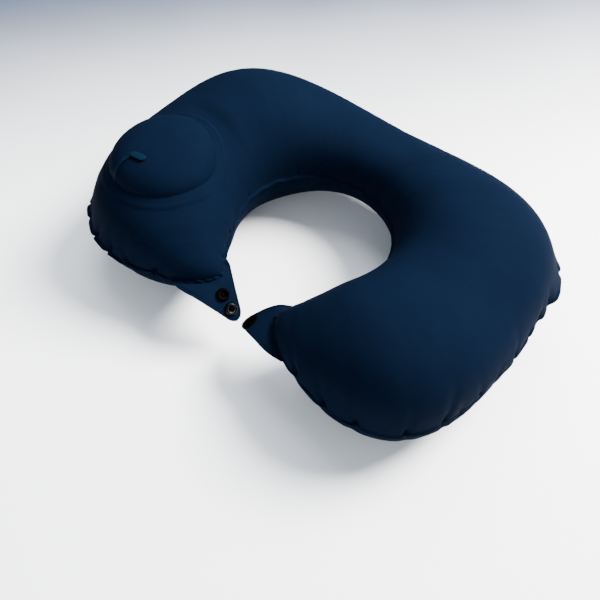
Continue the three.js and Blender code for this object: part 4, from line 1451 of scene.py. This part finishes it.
@dataclass
class PressStuds:
    """Two sockets on the pump arm's tab, and the cap with its stud on the other."""

    left: FasteningTab
    right: FasteningTab
    spacing: float = 13 * MM
    steps: int = 56

    socket: tuple[tuple[float, float], ...] = (
        (1.9, 0.3), (5.7, 0.25), (5.9, 0.5), (5.9, 1.1), (5.5, 1.9), (5.0, 2.6), (4.5, 3.05),
        (4.1, 3.1), (3.6, 2.8), (3.5, 2.5), (3.8, 2.2), (3.8, 1.3), (3.4, 1.0), (1.9, 1.0), (1.9, 0.3),
    )
    ring: tuple[tuple[float, float], ...] = (
        (3.15, 1.9), (3.25, 1.65), (3.45, 1.62), (3.6, 1.9), (3.45, 2.16), (3.25, 2.14), (3.15, 1.9),
    )
    rivet: tuple[tuple[float, float], ...] = (
        (0, -2.8), (3.2, -2.8), (4.6, -2.6), (5.3, -2.25), (5.5, -1.9), (5.3, -1.7),
        (1.6, -1.7), (1.6, 1.0), (1.2, 1.3), (0, 1.3),
    )
    cap: tuple[tuple[float, float], ...] = (
        (0, -2.9), (1.6, -2.9), (1.6, 0.3), (7.1, 0.3), (7.4, 0.55), (7.3, 0.95), (6.8, 1.3),
        (5.9, 1.55), (5.6, 1.45), (5.3, 1.6), (4.0, 1.9), (2.0, 2.1), (0, 2.1),
    )
    stud: tuple[tuple[float, float], ...] = (
        (0, -5.1), (1.8, -5.05), (2.5, -4.8), (2.8, -4.3), (2.7, -3.7), (2.35, -3.1), (2.6, -2.65),
        (5.2, -2.6), (5.5, -2.3), (5.4, -1.8), (1.9, -1.7), (1.9, -3.2), (0, -3.2),
    )

    def build(self) -> list[bpy.types.Object]:
        """Turns each stud piece for each of its places and sets it there."""
        tip = self.left.flex_length
        made = []
        for place, distance, finish in (
            ("tip", tip, SNAP_GLOSS),
            ("inner", tip - self.spacing * math.cos(self.left.start_slope), SNAP_MATT),
        ):
            matrix = self.left.stud_place(distance)
            # The inner ring takes the darkened copy of the steel, painted shade in place of a glint.
            wire = SNAP_STEEL if place == "tip" else SNAP_STEEL_DARKENED
            for part, profile, look, slot, node in (
                ("socket", self.socket, finish, "snap_black", "snap_socket"),
                ("ring", self.ring, wire, "snap_steel", "snap_spring_ring"),
                ("rivet", self.rivet, SNAP_MATT, "snap_black", "snap_rivet"),
            ):
                made.append(self.piece(f"{place}_{part}", profile, matrix, look, slot, f"{place}_{node}"))
        matrix = self.right.stud_place(self.right.flex_length)
        made.append(self.piece("cap_button", self.cap, matrix, SNAP_MATT, "snap_black", "snap_cap"))
        made.append(self.piece("cap_stud", self.stud, matrix, SNAP_GLOSS, "snap_black", "snap_stud"))
        return made

    def piece(
        self,
        name: str,
        profile: Sequence[tuple[float, float]],
        place: Matrix,
        finish: object,
        slot: str,
        node: str,
    ) -> bpy.types.Object:
        """One turned piece, put in place of its CAD node and riding on that node's body."""
        turned = spun(name, profile, self.steps)
        put_in_mesh(turned, place)
        soft_shading(turned, 38)
        dress(turned, finish)
        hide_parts(node)
        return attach(turned, frame["nodes"][node]["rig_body"])


# ---- Release valve ----


@dataclass
class ReleaseValve:
    """The clear valve that lets the air out, on the outer side of the pump arm."""

    chamber: ChamberForm = field(default_factory=ChamberForm)
    heading: float = math.radians(-95)
    elevation: float = math.radians(-34)
    skin_radius: float = 62.0

    flange: tuple[tuple[float, float], ...] = (
        (4.2, -13), (5.1, -13), (5.5, -12.6), (5.5, 0.1), (11.2, 0.1), (11.9, 0.5), (11.9, 0.8),
        (11.2, 1.25), (9.6, 1.3), (9.2, 1.0), (8.8, 1.3), (7.4, 1.3), (7.0, 1.0), (6.6, 1.3),
        (4.6, 1.3), (4.2, 1.0), (4.2, -13),
    )
    stem: tuple[tuple[float, float], ...] = (
        (2.7, -12), (3.5, -12), (3.9, -11.6), (3.9, 1.6), (5.1, 1.6), (5.4, 1.9), (5.4, 2.9),
        (5.1, 3.2), (3.2, 3.2), (2.7, 2.9), (2.7, -12),
    )
    stopper: tuple[tuple[float, float], ...] = (
        (0, -2.4), (1.8, -2.5), (2.4, -2.0), (2.4, 3.5), (5.6, 3.5), (6.0, 3.8), (6.0, 4.9),
        (5.6, 5.3), (3.4, 5.3), (3.1, 4.9), (1.2, 4.8), (0, 4.8),
    )

    def place(self) -> Matrix:
        """The valve's frame: origin on the skin, +Z out of the pillow."""
        step = 0.01
        spot, along, up = (
            Vector(self.chamber.skin(np.array(self.heading + a), np.array(self.elevation + b)))
            for a, b in ((0, 0), (step, 0), (0, step))
        )
        along, up = along - spot, up - spot
        outwards = up.cross(along).normalized()
        across = along.normalized()
        turn = Matrix((across, outwards.cross(across), outwards)).transposed().to_4x4()
        return Matrix.Translation(spot) @ turn

    def build(self) -> list[bpy.types.Object]:
        """Builds the flange, the stem, the stopper and its loop."""
        place = self.place()
        flange = spun("release_flange", self.flange, 64)
        points = points_of(flange)
        reach = np.hypot(points[:, 0], points[:, 1]) / MM
        sag = np.maximum(reach**2 - 5.6**2, 0) / (2 * self.skin_radius) * MM
        points[:, 2] -= sag
        set_points(flange, points)
        stem = spun("release_stem", self.stem, 56)
        stopper = spun("release_stopper", self.stopper, 56)
        return [
            self.fit(flange, place, "release_valve_flange"),
            self.fit(stem, place, "release_valve_stem"),
            self.fit(stopper, place, "release_valve_stopper"),
            self.tether(place),
        ]

    def fit(self, piece: bpy.types.Object, place: Matrix, node: str) -> bpy.types.Object:
        """Puts a valve piece in place of its CAD node, on that node's body."""
        put_in_mesh(piece, place)
        soft_shading(piece, 38)
        dress(piece, VALVE_FILM)
        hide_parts(node)
        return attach(piece, frame["nodes"][node]["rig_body"])

    def tether(self, place: Matrix) -> bpy.types.Object:
        """The stopper's loop, bending between the stem's lip and the stopper's rim."""
        turn = np.linspace(-np.pi / 2, np.pi / 2, 19)
        x = np.concatenate([[5.2, 5.9, 6.6], 7.2 + 1.7 * np.cos(turn), [6.6, 6.1, 5.8]])
        z = np.concatenate([[2.0, 2.0, 2.0], 3.3 + 1.3 * np.sin(turn), [4.6, 4.6, 4.6]])
        y = np.linspace(-1.3, 1.3, 5)
        grid = np.stack(np.broadcast_arrays(x[:, None], y[None, :], z[:, None]), -1)
        loop = gridded("release_tether", grid * MM, face_up=False)
        finish_modifier(loop, "SOLIDIFY", thickness=0.8 * MM, offset=0)
        round_off(loop, 0.2 * MM, 2, 50)
        put_in_mesh(loop, place)
        soft_shading(loop, 50)
        dress(loop, VALVE_FILM)
        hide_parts("stopper_tether")
        start, end = (place @ Vector((6 * MM, 0, height)) for height in (2.4 * MM, 4.2 * MM))
        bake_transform(loop, "valve_stem", "valve_stopper", start=start, end=end)
        return loop


def dress_inner_pieces() -> list[bpy.types.Object]:
    """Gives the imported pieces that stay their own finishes."""
    finishes = {
        "check_valve_seat": (VALVE_FILM, "clear_film"),
        "check_valve_flap": (FLAP_FILM, "clear_film"),
        "release_valve_flap": (FLAP_FILM, "clear_film"),
    }
    return [dress(frame["nodes"][node], finish) for node, (finish, slot) in finishes.items()]


# ---- Studio ----


@dataclass
class Studio:
    """The plain floor, the soft lights and the camera."""

    azimuth: float = math.radians(39.25)
    elevation: float = math.radians(55.56)
    distance: float = 655.75 * MM
    aim: tuple[float, float, float] = (11.46 * MM, -43.46 * MM, -1.5 * MM)
    lens: float = 40.81

    def build(self) -> None:
        """Makes the floor, the lights and the camera."""
        self.floor()
        self.lights()
        self.camera()

    def floor(self) -> None:
        """Lays a wide flat floor just under the pillow."""
        clear_selection()
        low = CAD_BOX[0].z
        bpy.ops.mesh.primitive_plane_add(size=8, location=(0, 0, low - 0.2 * MM))
        floor = bpy.context.object
        floor.name = "studio_floor"
        put_in_mesh(floor, Matrix.Identity(4))
        floor.data.materials.append(PaleFloor().build())

    def light(
        self, name: str, place: Sequence[float], size: float, power: float, colour: Sequence[float]
    ) -> None:
        """Adds one round soft light that faces the pillow."""
        data = bpy.data.lights.new(name, "AREA")
        data.shape = "DISK"
        data.size = size
        data.energy = power
        data.color = colour
        lamp = bpy.data.objects.new(name, data)
        bpy.context.scene.collection.objects.link(lamp)
        lamp.location = place
        lamp.rotation_mode = "QUATERNION"
        lamp.rotation_quaternion = (-Vector(place)).to_track_quat("-Z", "Y")

    def lights(self) -> None:
        """Sets a broad key from the plain arm's side, a high fill and a pale room."""
        self.light("key", (0.60, 1.0, 1.3), 0.9, 225, (1.0, 0.985, 0.96))
        self.light("high_fill", (-0.6, 0.8, 1.7), 1.6, 40, (0.92, 0.96, 1.0))
        self.light("low_fill", (0.9, -1.5, 0.9), 1.2, 10, (0.98, 0.99, 1.0))
        world = bpy.data.worlds.new("pale_room")
        bpy.context.scene.world = world
        world.use_nodes = True
        sky = world.node_tree.nodes["Background"]
        sky.inputs["Color"].default_value = (0.78, 0.88, 1.0, 1)
        sky.inputs["Strength"].default_value = 0.9

    def camera(self) -> None:
        """Sets the camera round the pillow, looking down over the front of the plain arm."""
        data = bpy.data.cameras.new("camera")
        data.lens = self.lens
        data.sensor_width = 36
        data.clip_start = 0.01
        camera = bpy.data.objects.new("camera", data)
        bpy.context.scene.collection.objects.link(camera)
        back = Vector(
            (
                math.sin(self.azimuth) * math.cos(self.elevation),
                -math.cos(self.azimuth) * math.cos(self.elevation),
                math.sin(self.elevation),
            )
        )
        camera.location = Vector(self.aim) + self.distance * back
        camera.rotation_mode = "QUATERNION"
        camera.rotation_quaternion = (-back).to_track_quat("-Z", "Y")
        bpy.context.scene.camera = camera


def main() -> None:
    """Builds the studio and every sub-assembly in order."""
    logging.basicConfig(level=logging.INFO, format="%(name)s: %(message)s")
    Studio().build()
    tabs = fastening_tabs()
    made = [AirChamber().build()]
    made += [tab.build() for tab in tabs]
    made += PressStuds(*tabs).build()
    made += PressPump().build()
    made += ReleaseValve().build()
    made += dress_inner_pieces()


if __name__ == "__main__":
    main()
